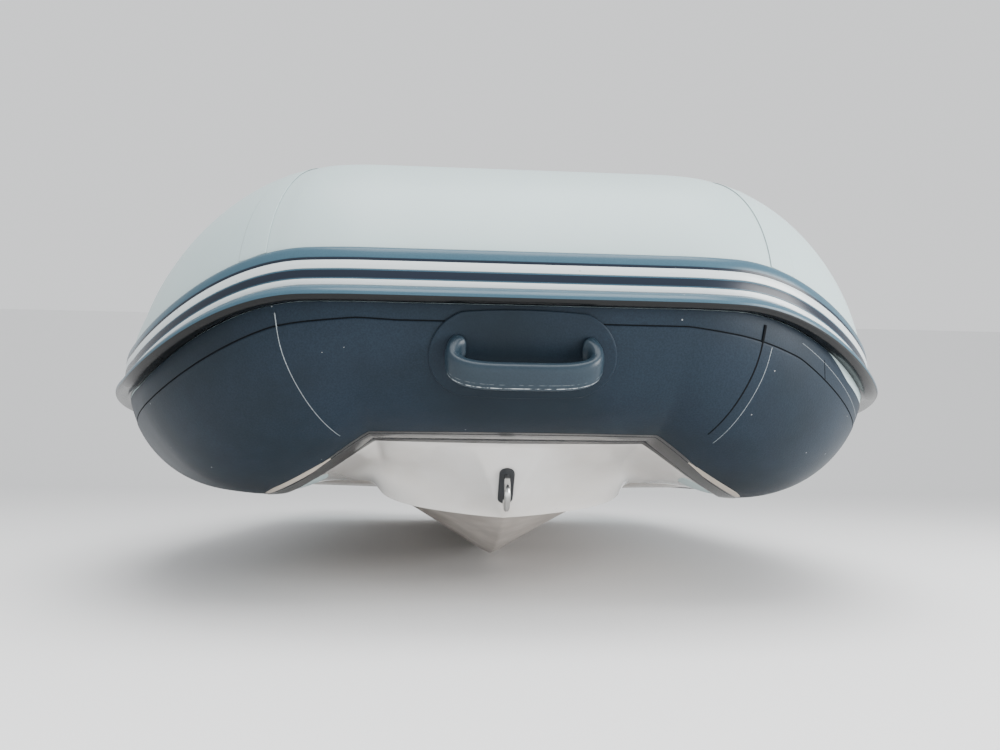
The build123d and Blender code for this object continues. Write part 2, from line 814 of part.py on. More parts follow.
with BuildPart() as rowlock_socket:
    with BuildSketch(Plane.XY.offset(socket_foot - 12)):
        SlotOverall(150, 80)
    extrude(amount=18)
    with BuildSketch(Plane.XY.offset(socket_foot + 6)):
        Circle(24)
    extrude(amount=24, taper=10)
    with BuildSketch(Plane.YZ):
        Circle(socket_foot)
    extrude(amount=100, both=True, mode=Mode.SUBTRACT)
    with BuildSketch(Plane.XY.offset(socket_foot + 1)):
        Circle(shank_radius + 0.1)
    extrude(amount=60, mode=Mode.SUBTRACT)
save_pair(rowlock_plane.from_local_coords(rowlock_socket.part), "rowlock_socket")

horn_centre = socket_top + 8 + horn_bar * 2 + horn_gap
with BuildPart() as rowlock_horn:
    with BuildSketch(Plane.XY.offset(socket_foot + 2)):
        Circle(shank_radius)
    extrude(amount=horn_centre - horn_gap - horn_bar - socket_foot - 2)
    with BuildSketch(Plane.XY.offset(socket_top + skin_gap)):
        Circle(12)
    extrude(amount=5)
    with BuildLine(Plane.XZ) as horn_route:
        horn_arc = CenterArc((0, horn_centre), horn_gap + horn_bar, 180, 180)
        Line((-horn_gap - horn_bar, horn_centre + 34), horn_arc @ 0)
        Line(horn_arc @ 1, (horn_gap + horn_bar, horn_centre + 34))
    with BuildSketch(Plane(origin=horn_route.line @ 0, z_dir=(0, 0, 1))):
        Circle(horn_bar)
    sweep()
save_pair(rowlock_plane.from_local_coords(rowlock_horn.part), "rowlock_horn")

# ---- thwart and its brackets ----------------------------------------------------------------
seat_y = 330.0
seat_width = 240.0
seat_thickness = 28.0
seat_bottom = 480.0
seat_half_length = 405.0
bracket_inner = 360.0
bracket_thickness = 26.0
with BuildPart() as thwart:
    with BuildSketch(Plane.XY.offset(seat_bottom)):
        with Locations((0, seat_y)):
            RectangleRounded(2 * seat_half_length, seat_width, 30)
    extrude(amount=seat_thickness)
    fillet(thwart.faces().sort_by(Axis.Z)[-1].edges(), 6)
save(thwart.part, "thwart")

with BuildPart() as bracket_blank:
    with BuildSketch(Plane.XY.offset(seat_bottom - bracket_thickness)):
        with Locations(((bracket_inner + 470) / 2, seat_y)):
            RectangleRounded(470 - bracket_inner, seat_width + 30, 14)
    extrude(amount=bracket_thickness)
bracket = bracket_blank.part - side_space
save_set([bracket.solids().sort_by(Axis.X)[0]], "thwart_brackets")

# ---- bow locker with a hinged lid -----------------------------------------------------------
locker_front_y = bow_axis_y + 320
locker_depth = 350.0
locker_half = 230.0
locker_height = 150.0
locker_wall = 6.0
lid_thickness = 14.0
lid_overhang = 10.0
locker_top = deck_top + locker_height
locker_centre_y = locker_front_y + locker_depth / 2
hinge_pin = 3.0
hinge_y = locker_front_y - 8
hinge_z = locker_top + lid_thickness / 2
latch_y = locker_front_y + locker_depth - 40
latch_shaft = 6.0

with BuildPart() as locker_box:
    with BuildSketch(Plane.XY.offset(deck_top)):
        with Locations((0, locker_centre_y)):
            Rectangle(2 * locker_half, locker_depth)
            Rectangle(2 * (locker_half - locker_wall), locker_depth - 2 * locker_wall, mode=Mode.SUBTRACT)
    extrude(amount=locker_height - skin_gap)
    with BuildSketch(Plane.XY.offset(locker_top - 22)):
        with Locations((0, locker_front_y + locker_depth - locker_wall - 9)):
            Rectangle(80, 18)
    extrude(amount=6)
    for x in (-150, 0, 150):
        with BuildSketch(Plane(origin=(x - 12, hinge_y, hinge_z), x_dir=(0, 1, 0), z_dir=(1, 0, 0))):
            with BuildLine():
                Polyline((-7, 7), (-7, -7), (8, -30), (8, -7.5), (7, -7.5), (7, 7), close=True)
            make_face()
            Circle(hinge_pin + 0.1, mode=Mode.SUBTRACT)
        extrude(amount=24)
save(locker_box.part, "bow_locker")

with BuildPart() as locker_lid:
    with BuildSketch(Plane.XY.offset(locker_top)):
        with Locations((0, locker_centre_y + 12)):
            RectangleRounded(2 * (locker_half + lid_overhang), locker_depth + lid_overhang - 8, 18)
    extrude(amount=lid_thickness)
    fillet(locker_lid.faces().sort_by(Axis.Z)[-1].edges(), 4)
    for x in (-150, 0, 150):
        for shift in (-26, 13):
            with BuildSketch(Plane(origin=(x + shift, hinge_y, hinge_z), x_dir=(0, 1, 0), z_dir=(1, 0, 0))):
                with BuildLine():
                    Polyline((-6, 6), (-6, -6), (24, -6), (24, 6), close=True)
                make_face()
            extrude(amount=13)
    for x in (-150, 0, 150):
        with BuildSketch(Plane(origin=(x - 30, hinge_y, hinge_z), x_dir=(0, 1, 0), z_dir=(1, 0, 0))):
            Circle(hinge_pin + 0.1)
        extrude(amount=60, mode=Mode.SUBTRACT)
    with BuildSketch(Plane.XY.offset(locker_top - 1)):
        with Locations((0, latch_y)):
            Circle(latch_shaft + 0.1)
    extrude(amount=lid_thickness + 2, mode=Mode.SUBTRACT)
save(locker_lid.part, "locker_lid")

with BuildPart() as hinge_pins:
    for x in (-150, 0, 150):
        with BuildSketch(Plane(origin=(x - 29, hinge_y, hinge_z), x_dir=(0, 1, 0), z_dir=(1, 0, 0))):
            Circle(hinge_pin)
        extrude(amount=58)
save(hinge_pins.part, "locker_hinge_pins")

latch_low = locker_top - 27
with BuildPart() as lid_latch:
    with BuildSketch(Plane.XY.offset(latch_low)):
        with Locations((0, latch_y)):
            Circle(latch_shaft)
    extrude(amount=locker_top + lid_thickness + skin_gap - latch_low)
    with BuildSketch(Plane.XY.offset(locker_top + lid_thickness + skin_gap)):
        with Locations((0, latch_y)):
            Circle(17)
    extrude(amount=4)
    with BuildSketch(Plane.XY.offset(locker_top + lid_thickness + skin_gap + 4)):
        with Locations((0, latch_y)):
            SlotOverall(30, 8)
    extrude(amount=9)
    with BuildSketch(Plane.XY.offset(latch_low)):
        with Locations((-12, latch_y)):
            SlotOverall(44, 12)
    extrude(amount=4.5)
save(lid_latch.part, "lid_latch")
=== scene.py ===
"""A rigid inflatable dinghy: inflated tubes with wear panels and a rubbing strake on a moulded V hull.

Everything is in metres in the row frame: +X to port, +Y aft, +Z up, the ground at zero.
"""

import enum
import logging
import math
from dataclasses import dataclass

import bmesh
import bpy
import numpy as np
from mathutils import Matrix, Vector


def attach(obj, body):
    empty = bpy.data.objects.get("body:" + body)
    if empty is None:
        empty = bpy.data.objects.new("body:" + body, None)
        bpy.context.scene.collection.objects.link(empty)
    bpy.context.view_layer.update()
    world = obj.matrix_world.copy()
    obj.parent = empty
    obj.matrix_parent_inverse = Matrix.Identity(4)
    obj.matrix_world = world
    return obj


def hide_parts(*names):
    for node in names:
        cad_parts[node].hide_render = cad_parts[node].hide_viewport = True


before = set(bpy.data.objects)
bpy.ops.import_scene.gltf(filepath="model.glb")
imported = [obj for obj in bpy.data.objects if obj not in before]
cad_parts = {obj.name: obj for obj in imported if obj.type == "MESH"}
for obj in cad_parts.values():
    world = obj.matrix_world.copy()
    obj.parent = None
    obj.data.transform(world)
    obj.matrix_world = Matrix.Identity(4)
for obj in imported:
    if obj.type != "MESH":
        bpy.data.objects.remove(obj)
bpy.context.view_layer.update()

LOG = logging.getLogger("dinghy")
Array = np.ndarray
Colour = tuple[float, float, float]
Point = tuple[float, float, float]


class Side(enum.IntEnum):
    """Which side of the boat a piece is on."""

    STARBOARD = -1
    PORT = 1


# ---- mesh helpers ---------------------------------------------------------------------------
def grid_quads(rows: int, columns: int, wrap: bool = False) -> Array:
    """Quads of a grid of points numbered row by row.

    Args:
        rows: points along the first parameter.
        columns: points along the second parameter.
        wrap: joins the last column to the first.

    Returns:
        An array of four point numbers for each quad.
    """
    row = np.arange(rows - 1)[:, None]
    column = np.arange(columns if wrap else columns - 1)[None, :]
    after = (column + 1) % columns
    corners = [row * columns + column, row * columns + after]
    corners += [(row + 1) * columns + after, (row + 1) * columns + column]
    return np.stack([np.broadcast_to(c, (rows - 1, column.size)) for c in corners], -1).reshape(-1, 4)


def make_piece(name: str, points: Array, quads: Array, uv: Array | None = None) -> bpy.types.Object:
    """Builds a smooth-shaded mesh object at the origin from point and face arrays.

    Args:
        name: the piece's name.
        points: an (n, 3) array in metres.
        quads: an (m, 4) array of point numbers.
        uv: optional (n, 2) array of surface distances in metres.

    Returns:
        The new object, linked to the scene.
    """
    mesh = bpy.data.meshes.new(name)
    mesh.from_pydata(points.reshape(-1, 3).tolist(), [], quads.tolist())
    if uv is not None:
        layer = mesh.uv_layers.new(name="surface")
        loops = np.empty(len(mesh.loops), np.int32)
        mesh.loops.foreach_get("vertex_index", loops)
        layer.data.foreach_set("uv", uv.reshape(-1, 2)[loops].astype(np.float32).ravel())
    mesh.polygons.foreach_set("use_smooth", np.ones(len(mesh.polygons), bool))
    mesh.validate()
    piece = bpy.data.objects.new(name, mesh)
    bpy.context.scene.collection.objects.link(piece)
    return piece


def face_outward(piece: bpy.types.Object) -> None:
    """Turns the faces of a closed piece outwards, by the sign of its signed volume.

    The volume is the sum over faces of centre . normal . area / 3.

    Args:
        piece: a closed mesh object.
    """
    mesh = piece.data
    count = len(mesh.polygons)
    centre, normal, area = np.empty(count * 3), np.empty(count * 3), np.empty(count)
    mesh.polygons.foreach_get("center", centre)
    mesh.polygons.foreach_get("normal", normal)
    mesh.polygons.foreach_get("area", area)
    centre = centre.reshape(-1, 3) - centre.reshape(-1, 3).mean(0)
    if (np.einsum("ij,ij->i", centre, normal.reshape(-1, 3)) * area).sum() < 0:
        mesh.flip_normals()


def merge_seams(piece: bpy.types.Object, distance: float = 1e-5) -> None:
    """Welds points that lie on each other, such as a pole or a closing seam.

    Args:
        piece: the mesh object.
        distance: how close points have to be, in metres.
    """
    shape = bmesh.new()
    shape.from_mesh(piece.data)
    bmesh.ops.remove_doubles(shape, verts=shape.verts, dist=distance)
    shape.to_mesh(piece.data)
    shape.free()


def finish_piece(
    piece: bpy.types.Object,
    material: bpy.types.Material,
    nodes: tuple[str, ...] = (),
    body: str = "boat",
) -> bpy.types.Object:
    """Dresses a piece, puts it on its body and hides the CAD nodes it stands for.

    Args:
        piece: the mesh object.
        material: its finish.
        nodes: CAD nodes it replaces.
        body: the CAD body it moves with.

    Returns:
        The same piece.
    """
    piece.data.materials.append(material)
    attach(piece, body)
    if nodes:
        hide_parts(*nodes)
    LOG.info("%s: %d faces", piece.name, len(piece.data.polygons))
    return piece


def smooth_curve(at: Array, known: Array, values: Array) -> Array:
    """Cubic Hermite interpolation with central-difference slopes.

    Args:
        at: where to read the curve.
        known: increasing parameter values.
        values: one row of values for each of them.

    Returns:
        The curve's values, one row for each entry of at.
    """
    slope = np.gradient(values, known, axis=0)
    index = np.clip(np.searchsorted(known, at, side="right") - 1, 0, len(known) - 2)
    width = (known[index + 1] - known[index])[:, None]
    t = ((at - known[index])[:, None]) / width
    low, high = values[index], values[index + 1]
    a = low * (2 * t**3 - 3 * t**2 + 1) + slope[index] * width * (t**3 - 2 * t**2 + t)
    return a + high * (3 * t**2 - 2 * t**3) + slope[index + 1] * width * (t**3 - t**2)


def rounded_outline(corners: Array, radius: Array | float, steps: int = 5) -> Array:
    """A closed outline with its corners rounded.

    Each corner C becomes a quadratic Bezier from A to B, the points a rounding length along
    the two edges that meet there: (1-t)^2 A + 2t(1-t) C + t^2 B.

    Args:
        corners: an (n, 2) array of corner points in order.
        radius: rounding length for each corner.
        steps: points made for each corner.

    Returns:
        An (n * steps, 2) array.
    """
    radius = np.broadcast_to(np.asarray(radius, float), (len(corners),))[:, None]
    before = np.roll(corners, 1, 0) - corners
    after = np.roll(corners, -1, 0) - corners
    reach_before = np.linalg.norm(before, axis=1, keepdims=True)
    reach_after = np.linalg.norm(after, axis=1, keepdims=True)
    a = corners + before / reach_before * np.minimum(radius, reach_before * 0.48)
    b = corners + after / reach_after * np.minimum(radius, reach_after * 0.48)
    t = np.linspace(0, 1, steps)[None, :, None]
    curve = (1 - t) ** 2 * a[:, None] + 2 * t * (1 - t) * corners[:, None] + t**2 * b[:, None]
    return curve.reshape(-1, 2)


# ---- the tube's own geometry ----------------------------------------------------------------
@dataclass(frozen=True)
class TubePath:
    """The inflated tube's axis and upright sections, from the starboard stern round to port.

    The arc length s is 0 at the bow's centre and positive to port. The plan is a straight bow,
    a tight corner arc, a gentle shoulder arc and a straight side. The axis drops by bow_rise
    between two arc lengths along a smoothstep.
    """

    radius: float = 0.210
    bow_y: float = -1.315
    side_z: float = 0.390
    bow_rise: float = 0.092
    bow_half: float = 0.207
    corner_radius: float = 0.216
    turn: float = math.radians(61.5)
    shoulder_radius: float = 1.817
    rise_start: float = 0.248
    rise_end: float = 0.448
    stern_y: float = 1.155

    @property
    def corner_end(self) -> float:
        """Arc length at the end of the corner."""
        return self.bow_half + self.corner_radius * self.turn

    @property
    def shoulder_end(self) -> float:
        """Arc length where the straight side starts."""
        return self.corner_end + self.shoulder_radius * (math.pi / 2 - self.turn)

    @property
    def side_x(self) -> float:
        """How far the side tubes' axis is from the centreline."""
        arc = self.corner_radius * math.sin(self.turn)
        return self.bow_half + arc + self.shoulder_radius * (1 - math.sin(self.turn))

    @property
    def side_y(self) -> float:
        """Where the straight side starts."""
        arc = self.corner_radius * (1 - math.cos(self.turn))
        return self.bow_y + arc + self.shoulder_radius * math.cos(self.turn)

    @property
    def end(self) -> float:
        """Arc length at the stern end of the straight side."""
        return self.shoulder_end + self.stern_y - self.side_y

    def height(self, s: Array) -> Array:
        """Height of the axis: side_z + bow_rise (1 - smoothstep)."""
        u = np.clip((np.abs(s) - self.rise_start) / (self.rise_end - self.rise_start), 0, 1)
        return self.side_z + self.bow_rise * (1 - u * u * (3 - 2 * u))

    def axis(self, s: Array) -> tuple[Array, Array]:
        """Points on the axis and the level outward direction at each.

        Args:
            s: arc lengths.

        Returns:
            Two arrays with a last axis of three.
        """
        reach, sign = np.abs(s), np.where(s < 0, -1.0, 1.0)
        bend = np.clip(reach - self.bow_half, 0, self.corner_end - self.bow_half) / self.corner_radius
        along = np.clip(reach - self.corner_end, 0, self.shoulder_end - self.corner_end)
        swing = self.turn + along / self.shoulder_radius
        heading = bend + along / self.shoulder_radius
        x = np.minimum(reach, self.bow_half) + self.corner_radius * np.sin(bend)
        x = x + self.shoulder_radius * (np.sin(swing) - math.sin(self.turn))
        y = self.bow_y + self.corner_radius * (1 - np.cos(bend))
        y = y + self.shoulder_radius * (math.cos(self.turn) - np.cos(swing))
        y = y + np.maximum(reach - self.shoulder_end, 0)
        points = np.stack([x * sign, y, self.height(s)], -1)
        outward = np.stack([np.sin(heading) * sign, -np.cos(heading), 0 * heading], -1)
        return points, outward

    def half_heights(self, s: Array) -> tuple[Array, Array]:
        """The tube's reach above and below its axis, as the envelope of balls strung along it.

        Args:
            s: arc lengths.

        Returns:
            Two arrays: the reach above and the reach below.
        """
        d = np.linspace(-self.radius, self.radius, 121)
        ball = np.sqrt(np.maximum(self.radius**2 - d * d, 0))
        near = self.height(np.asarray(s)[..., None] + d)
        middle = self.height(s)
        return (near + ball).max(-1) - middle, middle - (near - ball).min(-1)

    def angle_at(self, s: Array, up: float) -> Array:
        """The section angle whose point is a height below the axis: asin(up / half height below)."""
        return np.arcsin(np.clip(up / self.half_heights(s)[1], -1, 1))

    def skin(self, s: Array, angle: Array, grow: Array | float = 0.0) -> Array:
        """Points on the skin.

        p = axis + outward (R + grow) cos(angle) + up (half height + grow) sin(angle).

        Args:
            s: arc lengths.
            angle: angles above the outward direction, in radians, same shape as s.
            grow: distance above the skin.

        Returns:
            An array of points.
        """
        centre, outward = self.axis(s)
        above, below = self.half_heights(s)
        half = np.where(np.sin(angle) > 0, above, below)
        across = (self.radius + grow) * np.cos(angle)
        points = centre + outward * across[..., None]
        points[..., 2] += (half + grow) * np.sin(angle)
        return points

    def beside(self, s: Array, out: Array, up: Array) -> Array:
        """Points given by how far they stand off the skin and their height above the axis.

        p = axis + outward (x_skin(up) + out) + up, where x_skin = R sqrt(1 - (up / half)^2).

        Args:
            s: arc lengths.
            out: distance out from the skin, measured level.
            up: height above the axis.

        Returns:
            An array of points.
        """
        centre, outward = self.axis(s)
        above, below = self.half_heights(s)
        half = np.where(up > 0, above, below)
        across = self.radius * np.sqrt(1 - (up / half) ** 2) + out
        points = centre + outward * across[..., None]
        points[..., 2] += up
        return points

    def stations(self, start: float, end: float, step: float = 0.008) -> Array:
        """Arc lengths from start to end, closer together round the corners.

        Args:
            start: the first.
            end: the last.
            step: their spacing before the corners draw them in.

        Returns:
            The arc lengths in order.
        """
        fine = np.linspace(start, end, max(int((end - start) / step), 3))
        weight = 1 + 5 * np.exp(-(((np.abs(fine) - 0.36) / 0.22) ** 2))
        travel = np.concatenate([[0], np.cumsum((weight[1:] + weight[:-1]) / 2)])
        count = max(int(len(fine) * 0.8), 8)
        return np.interp(np.linspace(0, travel[-1], count), travel, fine)


PATH = TubePath()


# ---- shader groups --------------------------------------------------------------------------
class Graph:
    """A small helper that adds and wires nodes in one node tree."""

    def __init__(self, tree: bpy.types.NodeTree) -> None:
        """Keeps the tree it works on, and its Group Input and Output nodes where it is a group."""
        self.tree = tree
        self.start: bpy.types.Node | None = None
        self.end: bpy.types.Node | None = None

    def add(self, kind: str, **values: object) -> bpy.types.Node:
        """Adds a node. Values are its settings, or sockets' values when the name starts with in_.

        Args:
            kind: the node's type.
            values: settings and socket values.

        Returns:
            The new node.
        """
        node = self.tree.nodes.new(kind)
        for name, value in values.items():
            if name.startswith("in_"):
                key = name[3:]
                node.inputs[int(key) if key.isdigit() else key.replace("_", " ")].default_value = value
            else:
                setattr(node, name, value)
        return node

    def link(self, source: bpy.types.NodeSocket, target: bpy.types.NodeSocket) -> None:
        """Joins two sockets."""
        self.tree.links.new(source, target)

    def math(self, operation: str, first: object, second: object = 0.0) -> bpy.types.NodeSocket:
        """A Math node whose inputs are sockets or numbers.

        Args:
            operation: the operation.
            first: its first input.
            second: its second input.

        Returns:
            The node's output.
        """
        node = self.add("ShaderNodeMath", operation=operation)
        for index, value in enumerate((first, second)):
            if isinstance(value, bpy.types.NodeSocket):
                self.link(value, node.inputs[index])
            else:
                node.inputs[index].default_value = value
        return node.outputs[0]

    def noise(
        self, vector: bpy.types.NodeSocket, scale: float, detail: float = 3.0, rough: float = 0.55
    ) -> bpy.types.NodeSocket:
        """A noise texture's value.

        Args:
            vector: where it is read.
            scale: cells in a metre.
            detail: octaves.
            rough: weight of each finer octave.

        Returns:
            The value's socket.
        """
        node = self.add("ShaderNodeTexNoise", in_Scale=scale, in_Detail=detail, in_Roughness=rough)
        self.link(vector, node.inputs["Vector"])
        return node.outputs["Fac"]

    def ramp(self, value: bpy.types.NodeSocket, low: float, high: float) -> bpy.types.NodeSocket:
        """Maps low..high to 0..1 smoothly and clamps it.

        Args:
            value: the socket to map.
            low: the value that gives 0.
            high: the value that gives 1.

        Returns:
            The result's socket.
        """
        node = self.add("ShaderNodeMapRange", interpolation_type="SMOOTHSTEP", in_1=low, in_2=high)
        self.link(value, node.inputs[0])
        return node.outputs[0]

    def mix(self, factor: object, first: object, second: object) -> bpy.types.NodeSocket:
        """Mixes two colours.

        Args:
            factor: share of the second, a socket or a number.
            first: the first colour.
            second: the second colour.

        Returns:
            The mixed colour's socket.
        """
        node = self.add("ShaderNodeMix", data_type="RGBA")
        for socket, value in zip((node.inputs[0], node.inputs[6], node.inputs[7]), (factor, first, second)):
            if isinstance(value, bpy.types.NodeSocket):
                self.link(value, socket)
            else:
                socket.default_value = value
        return node.outputs[2]


def new_group(name: str, inputs: dict[str, tuple[str, object]], outputs: dict[str, str]) -> Graph:
    """Starts a shader node group.

    Args:
        name: the group's name.
        inputs: socket name to (socket type, default value).
        outputs: socket name to socket type.

    Returns:
        A graph on the group's tree, with its Group Input and Group Output nodes in place.
    """
    tree = bpy.data.node_groups.new(name, "ShaderNodeTree")
    for key, (kind, value) in inputs.items():
        socket = tree.interface.new_socket(name=key, in_out="INPUT", socket_type=kind)
        if kind != "NodeSocketVector":
            socket.default_value = value
    for key, kind in outputs.items():
        tree.interface.new_socket(name=key, in_out="OUTPUT", socket_type=kind)
    graph = Graph(tree)
    graph.start = graph.add("NodeGroupInput")
    graph.end = graph.add("NodeGroupOutput")
    return graph


def grain_group() -> bpy.types.NodeTree:
    """Fine calendered grain: two noises of different size, as one height.

    Returns:
        The group's tree.
    """
    graph = new_group(
        "calendered_grain",
        {"Vector": ("NodeSocketVector", None), "Size": ("NodeSocketFloat", 900.0)},
        {"Height": "NodeSocketFloat"},
    )
    fine = graph.add("ShaderNodeTexNoise", in_Detail=2.0, in_Roughness=0.6)
    graph.link(graph.start.outputs["Vector"], fine.inputs["Vector"])
    graph.link(graph.start.outputs["Size"], fine.inputs["Scale"])
    coarse = graph.add("ShaderNodeTexVoronoi", feature="SMOOTH_F1")
    graph.link(graph.start.outputs["Vector"], coarse.inputs["Vector"])
    graph.link(graph.math("MULTIPLY", graph.start.outputs["Size"], 0.45), coarse.inputs["Scale"])
    total = graph.math("ADD", graph.math("MULTIPLY", fine.outputs["Fac"], 0.6), coarse.outputs["Distance"])
    graph.link(total, graph.end.inputs["Height"])
    return graph.tree


def weave_group() -> bpy.types.NodeTree:
    """The scrim's weave showing faintly through the coating: the product of two sine waves.

    Returns:
        The group's tree.
    """
    graph = new_group(
        "scrim_weave",
        {"Vector": ("NodeSocketVector", None), "Pitch": ("NodeSocketFloat", 0.0011)},
        {"Height": "NodeSocketFloat"},
    )
    parts = graph.add("ShaderNodeSeparateXYZ")
    graph.link(graph.start.outputs["Vector"], parts.inputs[0])
    turns = graph.math("DIVIDE", 2 * math.pi, graph.start.outputs["Pitch"])
    along = graph.math("SINE", graph.math("MULTIPLY", parts.outputs[0], turns))
    across = graph.math("SINE", graph.math("MULTIPLY", parts.outputs[1], turns))
    both = graph.math("MULTIPLY", along, across)
    graph.link(graph.math("MULTIPLY_ADD", both, 0.5), graph.end.inputs["Height"])
    return graph.tree


def grime_and_reflection_group() -> bpy.types.NodeTree:
    """Handling marks: broad soft mottling (a random tone, and on the gelcoat a painted warm reflection), a
    few short scuffs and sparse specks, each 0 to 1.

    Returns:
        The group's tree.
    """
    graph = new_group(
        "handling_marks",
        {"Vector": ("NodeSocketVector", None)},
        {"Mottle": "NodeSocketFloat", "Scuffs": "NodeSocketFloat", "Specks": "NodeSocketFloat"},
    )
    vector = graph.start.outputs["Vector"]
    graph.link(graph.noise(vector, 4.5, 4.0, 0.6), graph.end.inputs["Mottle"])
    stretched = graph.add("ShaderNodeMapping", in_Scale=(1.0, 4.0, 1.0), in_Rotation=(0.3, 0.2, 0.5))
    graph.link(vector, stretched.inputs["Vector"])
    scuffs = graph.ramp(graph.noise(stretched.outputs[0], 38.0, 6.0, 0.7), 0.66, 0.78)
    patches = graph.ramp(graph.noise(vector, 7.0, 2.0), 0.5, 0.7)
    graph.link(graph.math("MULTIPLY", scuffs, patches), graph.end.inputs["Scuffs"])
    dots = graph.add("ShaderNodeTexVoronoi", in_Scale=42.0)
    graph.link(vector, dots.inputs["Vector"])
    near = graph.math("LESS_THAN", dots.outputs["Distance"], 0.045)
    parts = graph.add("ShaderNodeSeparateColor")
    graph.link(dots.outputs["Color"], parts.inputs[0])
    few = graph.math("GREATER_THAN", parts.outputs[0], 0.72)
    graph.link(graph.math("MULTIPLY", near, few), graph.end.inputs["Specks"])
    return graph.tree


@dataclass(frozen=True)
class Finish:
    """A surface finish: its colours, gloss and the marks on it. Lengths are in metres.

    gloss is the roughness and its spread, marks the strengths of mottle, scuffs and specks, grain
    its cells in a metre and its depth, weave its pitch and depth, coat its weight and roughness.
    """

    name: str
    colour: Colour
    second: Colour
    gloss: tuple[float, float]
    marks: tuple[float, float, float]
    grain: tuple[float, float]
    weave: tuple[float, float] | None = None
    undulation: float = 0.0
    coat: tuple[float, float] = (0.0, 0.1)
    metallic: float = 0.0
    specular: float = 0.5
    uses_uv: bool = False
    speckle: float = 0.0

    def build(self) -> bpy.types.Material:
        """Makes the material: marks and grain from the shared groups into one Principled shader.

        Returns:
            The new material.
        """
        material = bpy.data.materials.new(self.name)
        material.use_nodes = True
        graph = Graph(material.node_tree)
        shader = material.node_tree.nodes["Principled BSDF"]
        place = graph.add("ShaderNodeTexCoord")
        marks = graph.add("ShaderNodeGroup", node_tree=GROUPS["marks"])
        graph.link(place.outputs["Object"], marks.inputs["Vector"])
        colour = self.extra(graph, place, self.tint(graph, place, marks))
        graph.link(colour, shader.inputs["Base Color"])
        roughness, spread = self.gloss
        rough = graph.math("MULTIPLY_ADD", marks.outputs["Mottle"], spread)
        rough.node.inputs[2].default_value = roughness - spread / 2
        graph.link(rough, shader.inputs["Roughness"])
        bump = graph.add("ShaderNodeBump", in_Strength=1.0, in_Distance=1.0)
        graph.link(self.relief(graph, place), bump.inputs["Height"])
        graph.link(bump.outputs[0], shader.inputs["Normal"])
        shader.inputs["Metallic"].default_value = self.metallic
        shader.inputs["Specular IOR Level"].default_value = self.specular
        shader.inputs["Coat Weight"].default_value = self.coat[0]
        shader.inputs["Coat Roughness"].default_value = self.coat[1]
        return material

    def tint(self, graph: Graph, place: bpy.types.Node, marks: bpy.types.Node) -> bpy.types.NodeSocket:
        """The two colours mottled, then scuffs, specks and fine dark grains over them.

        Args:
            graph: the material's graph.
            place: its texture coordinates.
            marks: its handling marks.

        Returns:
            The colour's socket.
        """
        mottle, scuffs, specks = self.marks
        mottled = graph.math("MULTIPLY", graph.ramp(marks.outputs["Mottle"], 0.3, 0.7), mottle)
        colour = graph.mix(mottled, (*self.colour, 1.0), (*self.second, 1.0))
        pale = tuple(min(c * 1.6 + 0.08, 0.9) for c in self.colour) + (1.0,)
        colour = graph.mix(graph.math("MULTIPLY", marks.outputs["Scuffs"], scuffs), colour, pale)
        if specks:
            lit = (0.75, 0.78, 0.78, 1.0) if sum(self.colour) < 1.2 else (0.1, 0.1, 0.1, 1.0)
            colour = graph.mix(graph.math("MULTIPLY", marks.outputs["Specks"], specks), colour, lit)
        if self.speckle:
            grains = graph.ramp(graph.noise(place.outputs["Object"], 420.0, 2.0, 0.7), 0.35, 0.65)
            dark = tuple(c * 0.55 for c in self.colour) + (1.0,)
            colour = graph.mix(graph.math("MULTIPLY", grains, self.speckle), colour, dark)
        return colour

    def relief(self, graph: Graph, place: bpy.types.Node) -> bpy.types.NodeSocket:
        """The bump's height: grain, then the weave and the slow undulation where there are any.

        Args:
            graph: the material's graph.
            place: its texture coordinates.

        Returns:
            The height's socket.
        """
        where = place.outputs["Object"]
        size, depth = self.grain
        grain = graph.add("ShaderNodeGroup", node_tree=GROUPS["grain"])
        grain.inputs["Size"].default_value = size
        graph.link(where, grain.inputs["Vector"])
        height = graph.math("MULTIPLY", grain.outputs["Height"], depth)
        if self.weave:
            weave = graph.add("ShaderNodeGroup", node_tree=GROUPS["weave"])
            weave.inputs["Pitch"].default_value = self.weave[0]
            graph.link(place.outputs["UV"] if self.uses_uv else where, weave.inputs["Vector"])
            height = graph.math("ADD", height, graph.math("MULTIPLY", weave.outputs["Height"], self.weave[1]))
        if self.undulation:
            wave = graph.noise(where, 5.0, 2.0, 0.5)
            height = graph.math("ADD", height, graph.math("MULTIPLY", wave, self.undulation))
        return height

    def extra(
        self, graph: Graph, place: bpy.types.Node, colour: bpy.types.NodeSocket
    ) -> bpy.types.NodeSocket:
        """The colour with this kind of finish's own lines or bands over it; here there are none."""
        return colour


@dataclass(frozen=True)
class BandedFinish(Finish):
    """A finish with bands of other colours between heights of the piece's surface map; on the strake they are
    painted shade and a painted shadow.

    Each band is its lowest height, its highest height and its colour.
    """

    bands: tuple[tuple[float, float, Colour], ...] = ()
    blur: float = 0.0005

    def extra(
        self, graph: Graph, place: bpy.types.Node, colour: bpy.types.NodeSocket
    ) -> bpy.types.NodeSocket:
        """Lays each band over the colour, with soft edges a millimetre wide.

        Args:
            graph: the material's graph.
            place: its texture coordinates.
            colour: the colour under them.

        Returns:
            The new colour's socket.
        """
        parts = graph.add("ShaderNodeSeparateXYZ")
        graph.link(place.outputs["UV"], parts.inputs[0])
        height = parts.outputs[1]
        for low, high, shade in self.bands:
            rising = graph.ramp(height, low - self.blur, low + self.blur)
            falling = graph.math("SUBTRACT", 1.0, graph.ramp(height, high - self.blur, high + self.blur))
            mask = graph.math("MULTIPLY", rising, falling)
            colour = graph.mix(mask, colour, (*shade, 1.0))
        return colour


